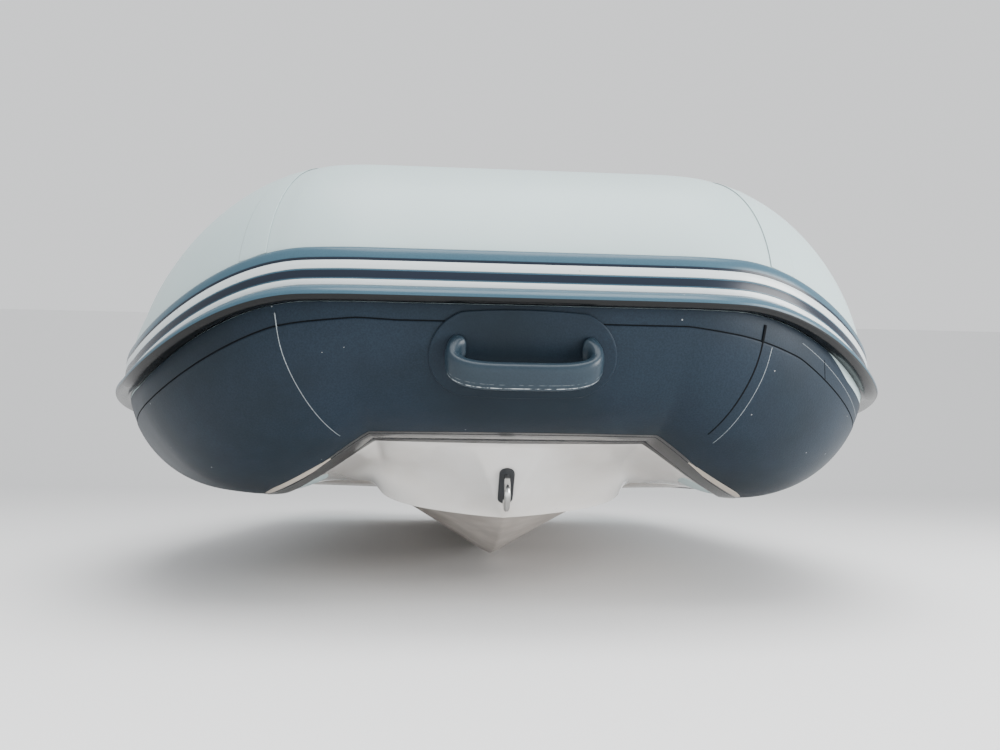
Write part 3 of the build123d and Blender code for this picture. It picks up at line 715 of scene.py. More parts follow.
@dataclass(frozen=True)
class MouldedFinish(Finish):
    """A moulded rubber finish with a parting line and a ragged strip of flash along one edge.

    The piece's surface map runs once round the section, 0 to 1, in its second coordinate. Each
    line is its centre and half width there, and its strength.
    """

    parting: tuple[float, float, float] = (0.30, 0.004, 0.22)
    flash: tuple[float, float, float] = (0.36, 0.011, 0.85)

    def extra(
        self, graph: Graph, place: bpy.types.Node, colour: bpy.types.NodeSocket
    ) -> bpy.types.NodeSocket:
        """Adds a thin pale parting line, and flash broken up by noise.

        Args:
            graph: the material's graph.
            place: its texture coordinates.
            colour: the colour under them.

        Returns:
            The new colour's socket.
        """
        parts = graph.add("ShaderNodeSeparateXYZ")
        graph.link(place.outputs["UV"], parts.inputs[0])
        around = parts.outputs[1]
        broken = graph.ramp(graph.noise(place.outputs["Object"], 130.0, 3.0), 0.42, 0.6)
        for centre, half, strength in (self.parting, self.flash):
            off = graph.math("ABSOLUTE", graph.math("SUBTRACT", around, centre))
            line = graph.math("SUBTRACT", 1.0, graph.ramp(off, half * 0.3, half))
            mask = graph.math("MULTIPLY", graph.math("MULTIPLY", line, broken), strength)
            colour = graph.mix(mask, colour, (0.62, 0.68, 0.70, 1.0))
        return colour


GROUPS = {"grain": grain_group(), "weave": weave_group(), "marks": grime_and_reflection_group()}


class Finishes:
    """All of the boat's materials, made once."""

    def __init__(self) -> None:
        """Builds each finish."""
        self.tube = Finish(
            "tube_fabric", (0.41, 0.51, 0.515), (0.375, 0.47, 0.475), gloss=(0.42, 0.08),
            marks=(0.35, 0.05, 0.3), grain=(700.0, 0.00004), weave=(0.0012, 0.000012), undulation=0.0012,
            specular=0.4, uses_uv=True,
        ).build()
        self.panel = Finish(
            "panel_fabric", (0.0135, 0.0240, 0.0375), (0.0080, 0.0135, 0.0180), gloss=(0.46, 0.12),
            marks=(0.8, 0.06, 0.5), grain=(800.0, 0.00010), weave=(0.0010, 0.00002), undulation=0.0014,
            specular=0.13, uses_uv=True, speckle=0.55,
        ).build()
        self.seam = Finish(
            "seam_bead", (0.30, 0.34, 0.36), (0.10, 0.13, 0.15), gloss=(0.5, 0.1),
            marks=(1.0, 0.1, 0.0), grain=(900.0, 0.00006), speckle=0.9,
        ).build()
        # Near-black: a painted shadow line along the wear panel's top edge, and the dark joint beads.
        self.edge_shadow_and_joint_dark = Finish(
            "edge_shadow_and_joint_dark", (0.0025, 0.0035, 0.0048), (0.004, 0.005, 0.007), gloss=(0.8, 0.1),
            marks=(0.4, 0.2, 0.0), grain=(900.0, 0.00006), specular=0.08,
        ).build()
        # Painted shade: the navy bands darken the lip's lower edge and the rib between the stripes; the
        # near-black band is a painted shadow on the beak's underside.
        painted_band_shade, painted_underside_shadow = (0.0085, 0.0135, 0.0235), (0.0030, 0.0036, 0.0042)
        self.strake = BandedFinish(
            "strake_rubber", (0.044, 0.094, 0.130), (0.036, 0.080, 0.112), gloss=(0.26, 0.08),
            marks=(0.35, 0.12, 0.2), grain=(500.0, 0.00003), specular=0.26, uses_uv=True, speckle=0.2,
            bands=((-0.0172, -0.0068, painted_band_shade), (0.0070, 0.0104, painted_band_shade), (-0.0500, -0.0418, painted_underside_shadow)),
        ).build()
        self.stripe = Finish(
            "stripe_rubber", (0.55, 0.60, 0.61), (0.49, 0.54, 0.55), gloss=(0.32, 0.08),
            marks=(0.3, 0.1, 0.5), grain=(600.0, 0.00002), coat=(0.2, 0.1),
        ).build()
        self.handle = MouldedFinish(
            "handle_rubber", (0.019, 0.034, 0.048), (0.014, 0.025, 0.036), gloss=(0.34, 0.1),
            marks=(0.5, 0.10, 0.3), grain=(700.0, 0.00006), specular=0.26, uses_uv=True, speckle=0.35,
        ).build()
        self.flange = Finish(
            "beige_edging", (0.50, 0.44, 0.37), (0.38, 0.33, 0.28), gloss=(0.4, 0.1),
            marks=(0.6, 0.3, 0.2), grain=(500.0, 0.00004),
        ).build()
        # The warm second colour, mottled in by noise, is a painted brown reflection over the white gelcoat.
        self.gelcoat = Finish(
            "gelcoat", (0.80, 0.785, 0.765), (0.66, 0.61, 0.55), gloss=(0.20, 0.06),
            marks=(0.6, 0.15, 0.2), grain=(300.0, 0.00001), undulation=0.0006, coat=(0.8, 0.05),
        ).build()
        # Darker than the gelcoat: painted shade on the downward-facing bottom, with dirt mottled darker
        # still.
        self.keel = Finish(
            "worn_gelcoat_and_painted_shade", (0.60, 0.55, 0.50), (0.26, 0.225, 0.20), gloss=(0.4, 0.15),
            marks=(0.9, 0.5, 0.4), grain=(250.0, 0.00004), undulation=0.0006, coat=(0.3, 0.1),
        ).build()
        self.tape = Finish(
            "hull_tape", (0.008, 0.010, 0.012), (0.014, 0.015, 0.016), gloss=(0.25, 0.1),
            marks=(0.5, 0.3, 0.3), grain=(500.0, 0.00004), coat=(0.25, 0.1),
        ).build()
        self.steel = Finish(
            "stainless_steel", (0.62, 0.62, 0.61), (0.5, 0.5, 0.5), gloss=(0.16, 0.08),
            marks=(0.4, 0.3, 0.0), grain=(1500.0, 0.00001), metallic=1.0,
        ).build()
        self.nylon = Finish(
            "fitting_nylon", (0.022, 0.024, 0.028), (0.035, 0.037, 0.040), gloss=(0.5, 0.12),
            marks=(0.4, 0.4, 0.2), grain=(1400.0, 0.00008),
        ).build()
        self.valve = Finish(
            "valve_nylon", (0.11, 0.12, 0.13), (0.08, 0.09, 0.10), gloss=(0.45, 0.1),
            marks=(0.4, 0.3, 0.2), grain=(1400.0, 0.00006),
        ).build()
        self.pad = Finish(
            "ribbed_pad", (0.014, 0.015, 0.017), (0.03, 0.03, 0.03), gloss=(0.55, 0.1),
            marks=(0.4, 0.5, 0.3), grain=(500.0, 0.0002),
        ).build()
        self.seat = Finish(
            "seat_plastic", (0.40, 0.43, 0.42), (0.34, 0.36, 0.36), gloss=(0.5, 0.1),
            marks=(0.4, 0.3, 0.2), grain=(420.0, 0.00025),
        ).build()
        self.deck = Finish(
            "deck_gelcoat", (0.60, 0.61, 0.59), (0.52, 0.53, 0.51), gloss=(0.4, 0.12),
            marks=(0.4, 0.25, 0.2), grain=(260.0, 0.0004), coat=(0.2, 0.3),
        ).build()


# ---- the inflated tube and what is glued on it -----------------------------------------------
@dataclass(frozen=True)
class InflatedTubes:
    """The tube's light fabric skin, its stern cones and the tapes over its seams."""

    around: int = 144
    seam_s: float = 0.276
    seam_pinch: float = 0.0009
    cone_length: float = 0.395

    def skin(self, finish: bpy.types.Material) -> bpy.types.Object:
        """One skin for the bow, corners and sides, drawn in slightly at each panel seam.

        The pinch is -p exp(-((|s| - s_seam) / 9 mm)^2) at each seam.

        Args:
            finish: its material.

        Returns:
            The skin.
        """
        s = PATH.stations(-PATH.end, PATH.end, 0.0072)
        angle = np.linspace(-math.pi, math.pi, self.around, endpoint=False)
        grid_s, grid_a = np.meshgrid(s, angle, indexing="ij")
        pinch = np.zeros_like(grid_s)
        for seam in (self.seam_s, PATH.shoulder_end):
            pinch -= self.seam_pinch * np.exp(-(((np.abs(grid_s) - seam) / 0.009) ** 2))
        points = PATH.skin(grid_s, grid_a, pinch)
        uv = np.stack([grid_s, grid_a * PATH.radius], -1)
        piece = make_piece("tube_skin", points, grid_quads(len(s), self.around, True), uv)
        nodes = ["bow_tube", "port_corner_tube", "starboard_corner_tube", "port_side_tube"]
        return finish_piece(piece, finish, (*nodes, "starboard_side_tube"))

    def cone(self, side: Side, finish: bpy.types.Material) -> bpy.types.Object:
        """A stern cone: a profile turned about the side tube's axis, with a rounded end disc.

        p = axis + r(t) (cos a, sin a) across and y(t) aft.

        Args:
            side: which side it is on.
            finish: its material.

        Returns:
            The cone.
        """
        profile = np.array(
            [[0.0, 0.2100], [0.03, 0.2092], [0.07, 0.2050], [0.13, 0.1885], [0.20, 0.1650],
             [0.27, 0.1405], [0.33, 0.1180], [0.362, 0.1030], [0.371, 0.0965], [0.376, 0.0955],
             [0.384, 0.0930], [0.391, 0.0840], [0.3935, 0.0760], [0.3925, 0.0700], [0.3905, 0.0640],
             [0.3900, 0.0300], [0.3895, 0.0001]]
        )
        knots = np.linspace(0, 1, len(profile))
        line = smooth_curve(np.linspace(0, 1, 120), knots, profile)
        line[:, 0] = np.minimum(line[:, 0], self.cone_length)
        turn = np.linspace(0, 2 * math.pi, 96, endpoint=False)
        x = side * PATH.side_x + line[:, 1:2] * np.cos(turn)
        z = PATH.side_z + line[:, 1:2] * np.sin(turn)
        y = np.broadcast_to(PATH.stern_y + line[:, 0:1], x.shape)
        uv = np.stack([y, np.broadcast_to(turn * 0.15, x.shape)], -1)
        name = side.name.lower()
        piece = make_piece(f"{name}_cone_skin", np.stack([x, y, z], -1), grid_quads(120, 96, True), uv)
        merge_seams(piece, 2e-4)
        face_outward(piece)
        return finish_piece(piece, finish, (f"{name}_stern_cone",))

    def band(
        self,
        name: str,
        at: float,
        width: float,
        low: float,
        high: float,
        lift: float,
        finish: bpy.types.Material,
    ) -> bpy.types.Object:
        """A thin tape round the tube at one arc length.

        Its section is a flat lozenge: lift at the middle, down to the skin at both edges.

        Args:
            name: the piece's name.
            at: arc length of its middle line.
            width: its width along the tube.
            low: lowest angle.
            high: highest angle.
            lift: how far it stands off the skin.
            finish: its material.

        Returns:
            The tape.
        """
        across = np.array([-1.0, -0.96, -0.9, 0.9, 0.96, 1.0, 0.9, -0.9])
        rise = np.array([0.05, 0.7, 1.0, 1.0, 0.7, 0.05, -0.4, -0.4])
        s = np.broadcast_to(at + across * width / 2, (90, 8))
        grid_a = np.broadcast_to(np.linspace(low, high, 90)[:, None], s.shape)
        points = PATH.skin(s, grid_a, np.broadcast_to(rise * lift, s.shape))
        uv = np.stack([s, grid_a * PATH.radius], -1)
        piece = make_piece(name, points, grid_quads(90, 8, True), uv)
        face_outward(piece)
        return finish_piece(piece, finish)

    def build(self, finishes: Finishes) -> None:
        """Makes the skin, both cones and the seam tapes.

        Args:
            finishes: the boat's materials.
        """
        self.skin(finishes.tube)
        for side in Side:
            self.cone(side, finishes.tube)
            bands = (
                ("corner", 0.290, 0.022, 0.13, 2.9, 0.0004),
                ("side", PATH.shoulder_end, 0.026, 0.13, 3.14, 0.0006),
                ("stern", PATH.end - 0.004, 0.05, -3.1, 3.1, 0.0008),
            )
            for place, at, *shape in bands:
                name = f"{side.name.lower()}_{place}_seam_tape"
                self.band(name, side * at, *shape, finishes.tube)


@dataclass(frozen=True)
class WearPanels:
    """The dark panels glued over the lower half of the tube, with their edges and seam lines."""

    lift: float = 0.0023
    base: float = 0.0002
    reach: float = 2.62
    bottom: float = math.radians(-97)

    def top_edge(self, s: Array) -> Array:
        """The main panel's top edge: level under the strake, then lower along the sides.

        Args:
            s: arc lengths.

        Returns:
            Its angle at each, in radians.
        """
        knots = [-1.34, -0.95, -0.647, -0.416, -0.316, -0.275, -0.17, 0.17, 0.309, 0.344, 0.43, 0.65, 1.34]
        drops = [32.0, 29.0, 25.5, 21.0, 18.6, 17.6, 19.0, 19.0, 19.0, 21.0, 25.5, 28.0, 32.0]
        return -np.radians(np.interp(s, knots, drops))

    def strip_top(self, s: Array) -> Array:
        """The upper strip's top edge: it meets the strake, then parts from it towards the sides.

        Args:
            s: arc lengths.

        Returns:
            Its angle at each, in radians.
        """
        foot = PATH.angle_at(s, -0.0462)
        knots = np.array([-1.0, -0.667, -0.45, -0.38, 0.34, 0.374, 0.447, 0.60, 0.9])
        gaps = np.array([14.0, 1.6, 0.3, 0.0, 0.0, 3.2, 3.4, 5.0, 16.0])
        return np.maximum(foot - np.radians(np.interp(s, knots, gaps)), self.top_edge(s) + 0.004)

    def sheet(
        self, name: str, s: Array, low: Array, high: Array, lift: float, finish: bpy.types.Material,
        nodes: tuple[str, ...] = (),
    ) -> bpy.types.Object:
        """A closed thin sheet on the tube between two edges, with rolled edges.

        p = skin(s, low + v (high - low)) raised by lift, the edge rows easing down to the skin.

        Args:
            name: the piece's name.
            s: arc lengths along it.
            low: its lower edge's angle at each.
            high: its upper edge's angle at each.
            lift: its outer face's height off the skin.
            finish: its material.
            nodes: CAD nodes it replaces.

        Returns:
            The sheet.
        """
        ease = np.array([0.0, 0.0018, 0.004, 0.008])
        inner = np.linspace(0.012, 0.988, 70)
        outer = np.concatenate([ease, inner, 1 - ease[::-1]])
        rise = np.interp(np.minimum(outer, 1 - outer), ease, [0.25, 0.75, 0.96, 1.0])
        across = np.concatenate([outer, outer[::-1]])
        under = self.base * 0.5
        height = np.concatenate([rise * lift, np.full(len(outer), under)])
        grid_s = np.broadcast_to(s[:, None], (len(s), len(across)))
        angle = low[:, None] + across[None, :] * (high - low)[:, None]
        end = np.minimum(np.arange(len(s)), np.arange(len(s))[::-1])
        taper = np.clip((end + 0.35) / 1.0, 0, 1)[:, None]
        points = PATH.skin(grid_s, angle, under + (height[None, :] - under) * taper)
        uv = np.stack([grid_s, angle * PATH.radius], -1)
        piece = make_piece(name, points, grid_quads(len(s), len(across), True), uv)
        face_outward(piece)
        return finish_piece(piece, finish, nodes)

    def seam_line(
        self,
        name: str,
        line: list[tuple[float, float]],
        width: float,
        finish: bpy.types.Material,
        foot: float,
    ) -> bpy.types.Object:
        """A fine bead 0.4 mm high along a line on the panel.

        Args:
            name: the piece's name.
            line: points as arc length and angle in degrees.
            width: the bead's width.
            finish: its material.
            foot: how far its foot is from the tube's skin.

        Returns:
            The bead.
        """
        known = np.array(line)
        t = np.linspace(0, 1, 80)
        run = smooth_curve(t, np.linspace(0, 1, len(known)), known)
        s, angle = run[:, 0], np.radians(run[:, 1])
        ds, da = np.gradient(s), np.gradient(angle) * PATH.radius
        size = np.hypot(ds, da) + 1e-9
        across = np.array([-1.0, -0.5, 0.5, 1.0])
        rise = np.array([0.0, 1.0, 1.0, 0.0])
        grid_s = s[:, None] + across * (width / 2) * (-da / size)[:, None]
        grid_a = angle[:, None] + across * (width / 2) * (ds / size)[:, None] / PATH.radius
        points = PATH.skin(grid_s, grid_a, foot + np.broadcast_to(rise * 0.0004, grid_s.shape))
        piece = make_piece(name, points, grid_quads(80, 4, True))
        face_outward(piece)
        return finish_piece(piece, finish)

    def build(self, finishes: Finishes) -> None:
        """Makes the main panel, the strip above it, a painted shadow line along its top edge and the seam
        lines.

        Args:
            finishes: the boat's materials.
        """
        s = PATH.stations(-self.reach, self.reach, 0.010)
        top = self.top_edge(s)
        panels = ("bow_wear_panel", "port_corner_wear_panel", "starboard_corner_wear_panel")
        panels += ("port_side_wear_panel", "starboard_side_wear_panel")
        low = np.full(len(s), self.bottom)
        self.sheet("wear_panel", s, low, top, self.lift, finishes.panel, panels)
        near = PATH.stations(-0.98, 0.88, 0.008)
        under, over = self.top_edge(near) - 0.004, self.strip_top(near)
        self.sheet("panel_top_strip", near, under, over, 0.0012, finishes.panel)
        edge = PATH.stations(-self.reach + 0.002, self.reach - 0.002, 0.010)
        line = self.top_edge(edge)
        # A near-black sheet along the panel's top edge: painted shadow.
        self.sheet("panel_edge_shadow", edge, line - 0.001, line + 0.006, 0.0021, finishes.edge_shadow_and_joint_dark)
        dark, pale = finishes.edge_shadow_and_joint_dark, finishes.seam
        on_panel, on_strip = 0.0020, 0.0009
        beads = (
            ("starboard_panel_seam", 0.0009, pale, on_panel,
             [(-0.271, -13.4), (-0.268, -27.5), (-0.258, -46.0), (-0.243, -69.0)]),
            ("port_panel_seam", 0.0006, pale, on_panel,
             [(0.281, -19.6), (0.279, -30.0), (0.273, -46.0), (0.266, -63.0)]),
            ("port_panel_overlap", 0.0022, dark, on_panel,
             [(0.273, -13.4), (0.271, -27.0), (0.265, -42.0), (0.256, -60.0)]),
            ("port_strip_joint", 0.0016, dark, on_strip,
             [(0.336, -14.6), (0.338, -17.0), (0.340, -19.0), (0.342, -20.6)]),
            ("port_strip_crease", 0.0008, pale, on_strip,
             [(0.309, -13.9), (0.340, -15.7), (0.374, -18.0), (0.430, -22.0)]),
        )
        for name, width, finish, foot, points in beads:
            self.seam_line(name, points, width, finish, foot)


@dataclass(frozen=True)
class RubbingStrake:
    """The extruded strake: a lip, two grooves with white stripes in them, and a blunt beak."""

    lip: float = 0.026
    foot: float = -0.046
    upper: tuple[float, float] = (0.007, -0.005)
    lower: tuple[float, float] = (-0.0185, -0.027)

    def outline(self) -> Array:
        """The section as (out from the skin, height above the axis), corners rounded.

        Returns:
            An (n, 2) array.
        """
        corners = np.array(
            [[0.0004, self.lip], [0.0026, self.lip], [0.0062, self.lip - 0.004], [0.0072, self.lip - 0.012],
             [0.0066, self.upper[0]], [0.0049, self.upper[0]], [0.0050, self.upper[1]],
             [0.0071, self.upper[1]], [0.0077, -0.0118], [0.0082, self.lower[0]], [0.0064, self.lower[0]],
             [0.0068, self.lower[1]], [0.0100, self.lower[1]], [0.0195, -0.0325], [0.0245, -0.0385],
             [0.0236, -0.0455], [0.0185, -0.0490], [0.0105, -0.0480], [0.0040, self.foot],
             [0.0004, self.foot]]
        )
        sizes = [0.4, 1.2, 3.0, 4.0, 0.5, 0.3, 0.3, 0.5, 2.5, 0.5]
        sizes += [0.3, 0.3, 0.8, 4.0, 3.2, 3.0, 3.0, 3.0, 1.5, 0.4]
        return rounded_outline(corners, np.array(sizes) / 1000, 5)

    def run(
        self,
        name: str,
        s: Array,
        outline: Array,
        finish: bpy.types.Material,
        slot: str,
        nodes: tuple[str, ...],
    ) -> None:
        """Carries an outline along the tube and closes both ends.

        Args:
            name: the piece's name.
            s: arc lengths along it.
            outline: closed section as (out, up).
            finish: its material.
            slot: not used.
            nodes: CAD nodes it replaces.
        """
        out = np.broadcast_to(outline[:, 0], (len(s), len(outline)))
        up = np.broadcast_to(outline[:, 1], out.shape)
        grid_s = np.broadcast_to(s[:, None], out.shape)
        points = PATH.beside(grid_s, out, up)
        middle = points.mean(1, keepdims=True)
        points = np.concatenate([np.broadcast_to(middle[:1], points[:1].shape), points], 0)
        points = np.concatenate([points, np.broadcast_to(middle[-1:], points[:1].shape)], 0)
        flat_s = np.concatenate([grid_s[:1], grid_s, grid_s[-1:]], 0)
        flat_up = np.concatenate([up[:1], up, up[-1:]], 0)
        uv = np.stack([flat_s, flat_up], -1)
        piece = make_piece(name, points, grid_quads(len(s) + 2, len(outline), True), uv)
        merge_seams(piece)
        face_outward(piece)
        finish_piece(piece, finish, nodes)

    def build(self, finishes: Finishes) -> None:
        """Makes the strake, its two white stripes and the end caps.

        Args:
            finishes: the boat's materials.
        """
        end = PATH.end - 0.05
        s = PATH.stations(-end, end, 0.009)
        nodes = ("bow_rubbing_strake", "port_corner_rubbing_strake", "starboard_corner_rubbing_strake")
        nodes += ("port_side_rubbing_strake", "starboard_side_rubbing_strake")
        self.run("rubbing_strake", s, self.outline(), finishes.strake, "strake_rubber", nodes)
        for name, (top, bottom), face in (("upper", self.upper, 0.0069), ("lower", self.lower, 0.0084)):
            back, crown = face - 0.0018, face + 0.0003
            upper = [[back, top - 0.0003], [face, top - 0.0004], [crown, (top + bottom) / 2]]
            lower = [[face, bottom + 0.0004], [back, bottom + 0.0003]]
            outline = rounded_outline(np.array(upper + lower), 0.0006, 4)
            stands_for = ("white_stripes",) if name == "upper" else ()
            self.run(f"{name}_white_stripe", s, outline, finishes.stripe, "stripe_rubber", stands_for)


@dataclass(frozen=True)
class GrabHandle:
    """A moulded grip on an oval patch.

    The grip's middle line is a superellipse between two roots, leaning down from root to grip.
    """

    name: str
    base: float
    origin: Point
    along: Point
    outward: Point
    up: Point
    half: float = 0.1005
    reach: float = 0.041
    root: float = 0.016
    drop: float = 0.008
    width: float = 0.038
    thick: float = 0.019
    bend_power: float = 0.50
    edge_power: float = 0.72
    patch_half: tuple[float, float] = (0.1275, 0.066)

    def place(self, local: Array) -> Array:
        """Local (along, up, outward) coordinates to the row frame."""
        axes = np.array([self.along, self.up, self.outward])
        return np.asarray(self.origin) + local @ axes

    def grip(self, finish: bpy.types.Material) -> bpy.types.Object:
        """The grip: a rounded strap section carried along the superellipse.

        x = -H c |c|^(e-1), z = reach |s|^e for c, s = cos, sin of t over 0..pi. The section is
        P + W/2 sgn(c)|c|^q up + T/2 sgn(s)|s|^q n, and it flares by exp(-z / 7 mm) at the roots.

        Args:
            finish: its material.

        Returns:
            The grip.
        """
        foot = self.base + 0.0026
        t = np.linspace(0, math.pi, 160)
        z = self.reach * np.abs(np.sin(t)) ** self.bend_power
        bend = np.sign(np.cos(t)) * np.abs(np.cos(t)) ** self.bend_power
        x = -self.half * bend * (1 - 0.13 * np.exp(-z / 0.016))
        y = self.root - (self.root + self.drop) * (z / self.reach) ** 1.1
        line = np.stack([x, y, foot + z], -1)
        step = np.r_[0, np.cumsum(np.linalg.norm(np.diff(line, axis=0), axis=1))]
        even = np.linspace(0, step[-1], 150)
        line = np.stack([np.interp(even, step, line[:, k]) for k in range(3)], -1)
        rise = line[:, 2] - foot
        tangent = np.gradient(line, axis=0)
        tangent /= np.linalg.norm(tangent, axis=1, keepdims=True)
        wide = np.array([0.0, 1.0, 0.0])
        thin = np.cross(tangent, wide)
        thin /= np.linalg.norm(thin, axis=1, keepdims=True)
        turn = np.linspace(0, 2 * math.pi, 48, endpoint=False)
        c, s = np.cos(turn), np.sin(turn)
        flare = np.exp(-np.maximum(rise, 0) / 0.0075)
        half_w = self.width / 2 * (1 - 0.14 * flare)
        half_t = self.thick / 2 * (1 + 0.30 * flare)
        offset_w = (np.sign(c) * np.abs(c) ** self.edge_power)[None, :] * half_w[:, None]
        offset_t = (np.sign(s) * np.abs(s) ** self.edge_power)[None, :] * half_t[:, None]
        points = line[:, None] + wide * offset_w[..., None] + thin[:, None] * offset_t[..., None]
        sink = self.base + 0.0012 - (1 - np.cos(points[..., 1] / self.base)) * self.base
        points[..., 2] = np.maximum(points[..., 2], sink)
        uv = np.stack(np.broadcast_arrays(even[:, None], (turn / (2 * math.pi))[None, :]), -1)
        piece = make_piece(f"{self.name}_grip", self.place(points), grid_quads(150, 48, True), uv)
        cap_ends(piece, 150, 48)
        face_outward(piece)
        return finish_piece(piece, finish, (self.name,))

    def patch(self, finish: bpy.types.Material, nodes: tuple[str, ...]) -> bpy.types.Object:
        """The oval patch, wrapped on the tube.

        A stadium's edge scaled by r in 0..1; across lies at angle y / R on the tube; its height
        is the patch's thickness, rolling down over the last millimetres.

        Args:
            finish: its material.
            nodes: CAD nodes it replaces.

        Returns:
            The patch.
        """
        length, width = self.patch_half
        turn = np.linspace(0, 2 * math.pi, 128, endpoint=False)
        c, s = np.cos(turn), np.sin(turn)
        edge_x = np.clip(c * 3, -1, 1) * (length - width) + c * width
        edge_y = s * width
        r = np.array([0.0, 0.3, 0.6, 0.8, 0.9, 0.955, 0.972, 0.985, 0.994, 1.0, 1.0, 0.9, 0.5, 0.0])
        h = np.array([2.5, 2.5, 2.5, 2.5, 2.5, 2.5, 2.75, 2.75, 2.3, 1.4, 0.2, 0.1, 0.1, 0.1]) / 1000
        radius = self.base - 0.0001 + h
        x = r[:, None] * edge_x
        angle = r[:, None] * edge_y / self.base
        points = np.stack([x, radius[:, None] * np.sin(angle), radius[:, None] * np.cos(angle)], -1)
        uv = np.stack([x, angle * self.base], -1)
        quads = grid_quads(len(r), 128, True)
        piece = make_piece(f"{self.name}_patch_sheet", self.place(points), quads, uv)
        merge_seams(piece)
        face_outward(piece)
        return finish_piece(piece, finish, nodes)


def cap_ends(piece: bpy.types.Object, rows: int, columns: int) -> None:
    """Closes the first and last ring of a swept grid with one face each.

    Args:
        piece: the swept mesh.
        rows: rings in the grid.
        columns: points in a ring.
    """
    shape = bmesh.new()
    shape.from_mesh(piece.data)
    shape.verts.ensure_lookup_table()
    shape.faces.new([shape.verts[i] for i in range(columns)][::-1])
    shape.faces.new([shape.verts[(rows - 1) * columns + i] for i in range(columns)])
    bmesh.ops.recalc_face_normals(shape, faces=shape.faces)
    shape.to_mesh(piece.data)
    shape.free()


class Handles:
    """All five grab handles and their patches."""

    def build(self, finishes: Finishes) -> None:
        """Makes the bow handle on the wear panel and two on each side.

        Args:
            finishes: the boat's materials.
        """
        tilt = math.radians(-32)
        front = (0.0, -math.cos(tilt), math.sin(tilt))
        upward = (0.0, math.sin(tilt), math.cos(tilt))
        bow = (0.0, PATH.bow_y, PATH.side_z + PATH.bow_rise)
        handle = GrabHandle("bow_handle", PATH.radius + 0.0026, bow, (1, 0, 0), front, upward)
        handle.grip(finishes.handle)
        handle.patch(finishes.panel, ("bow_handle_patch",))
        lean = math.radians(38)
        for side in Side:
            for place, y in (("fore", -0.170), ("aft", 0.860)):
                origin = (side * PATH.side_x, y, PATH.side_z)
                outward = (side * math.sin(lean), 0.0, math.cos(lean))
                inboard = (-side * math.cos(lean), 0.0, math.sin(lean))
                name = f"{side.name.lower()}_{place}_handle"
                handle = GrabHandle(name, PATH.radius + 0.0003, origin, (0, 1, 0), outward, inboard)
                handle.grip(finishes.handle)
                handle.patch(finishes.panel, ("side_handle_patches",))


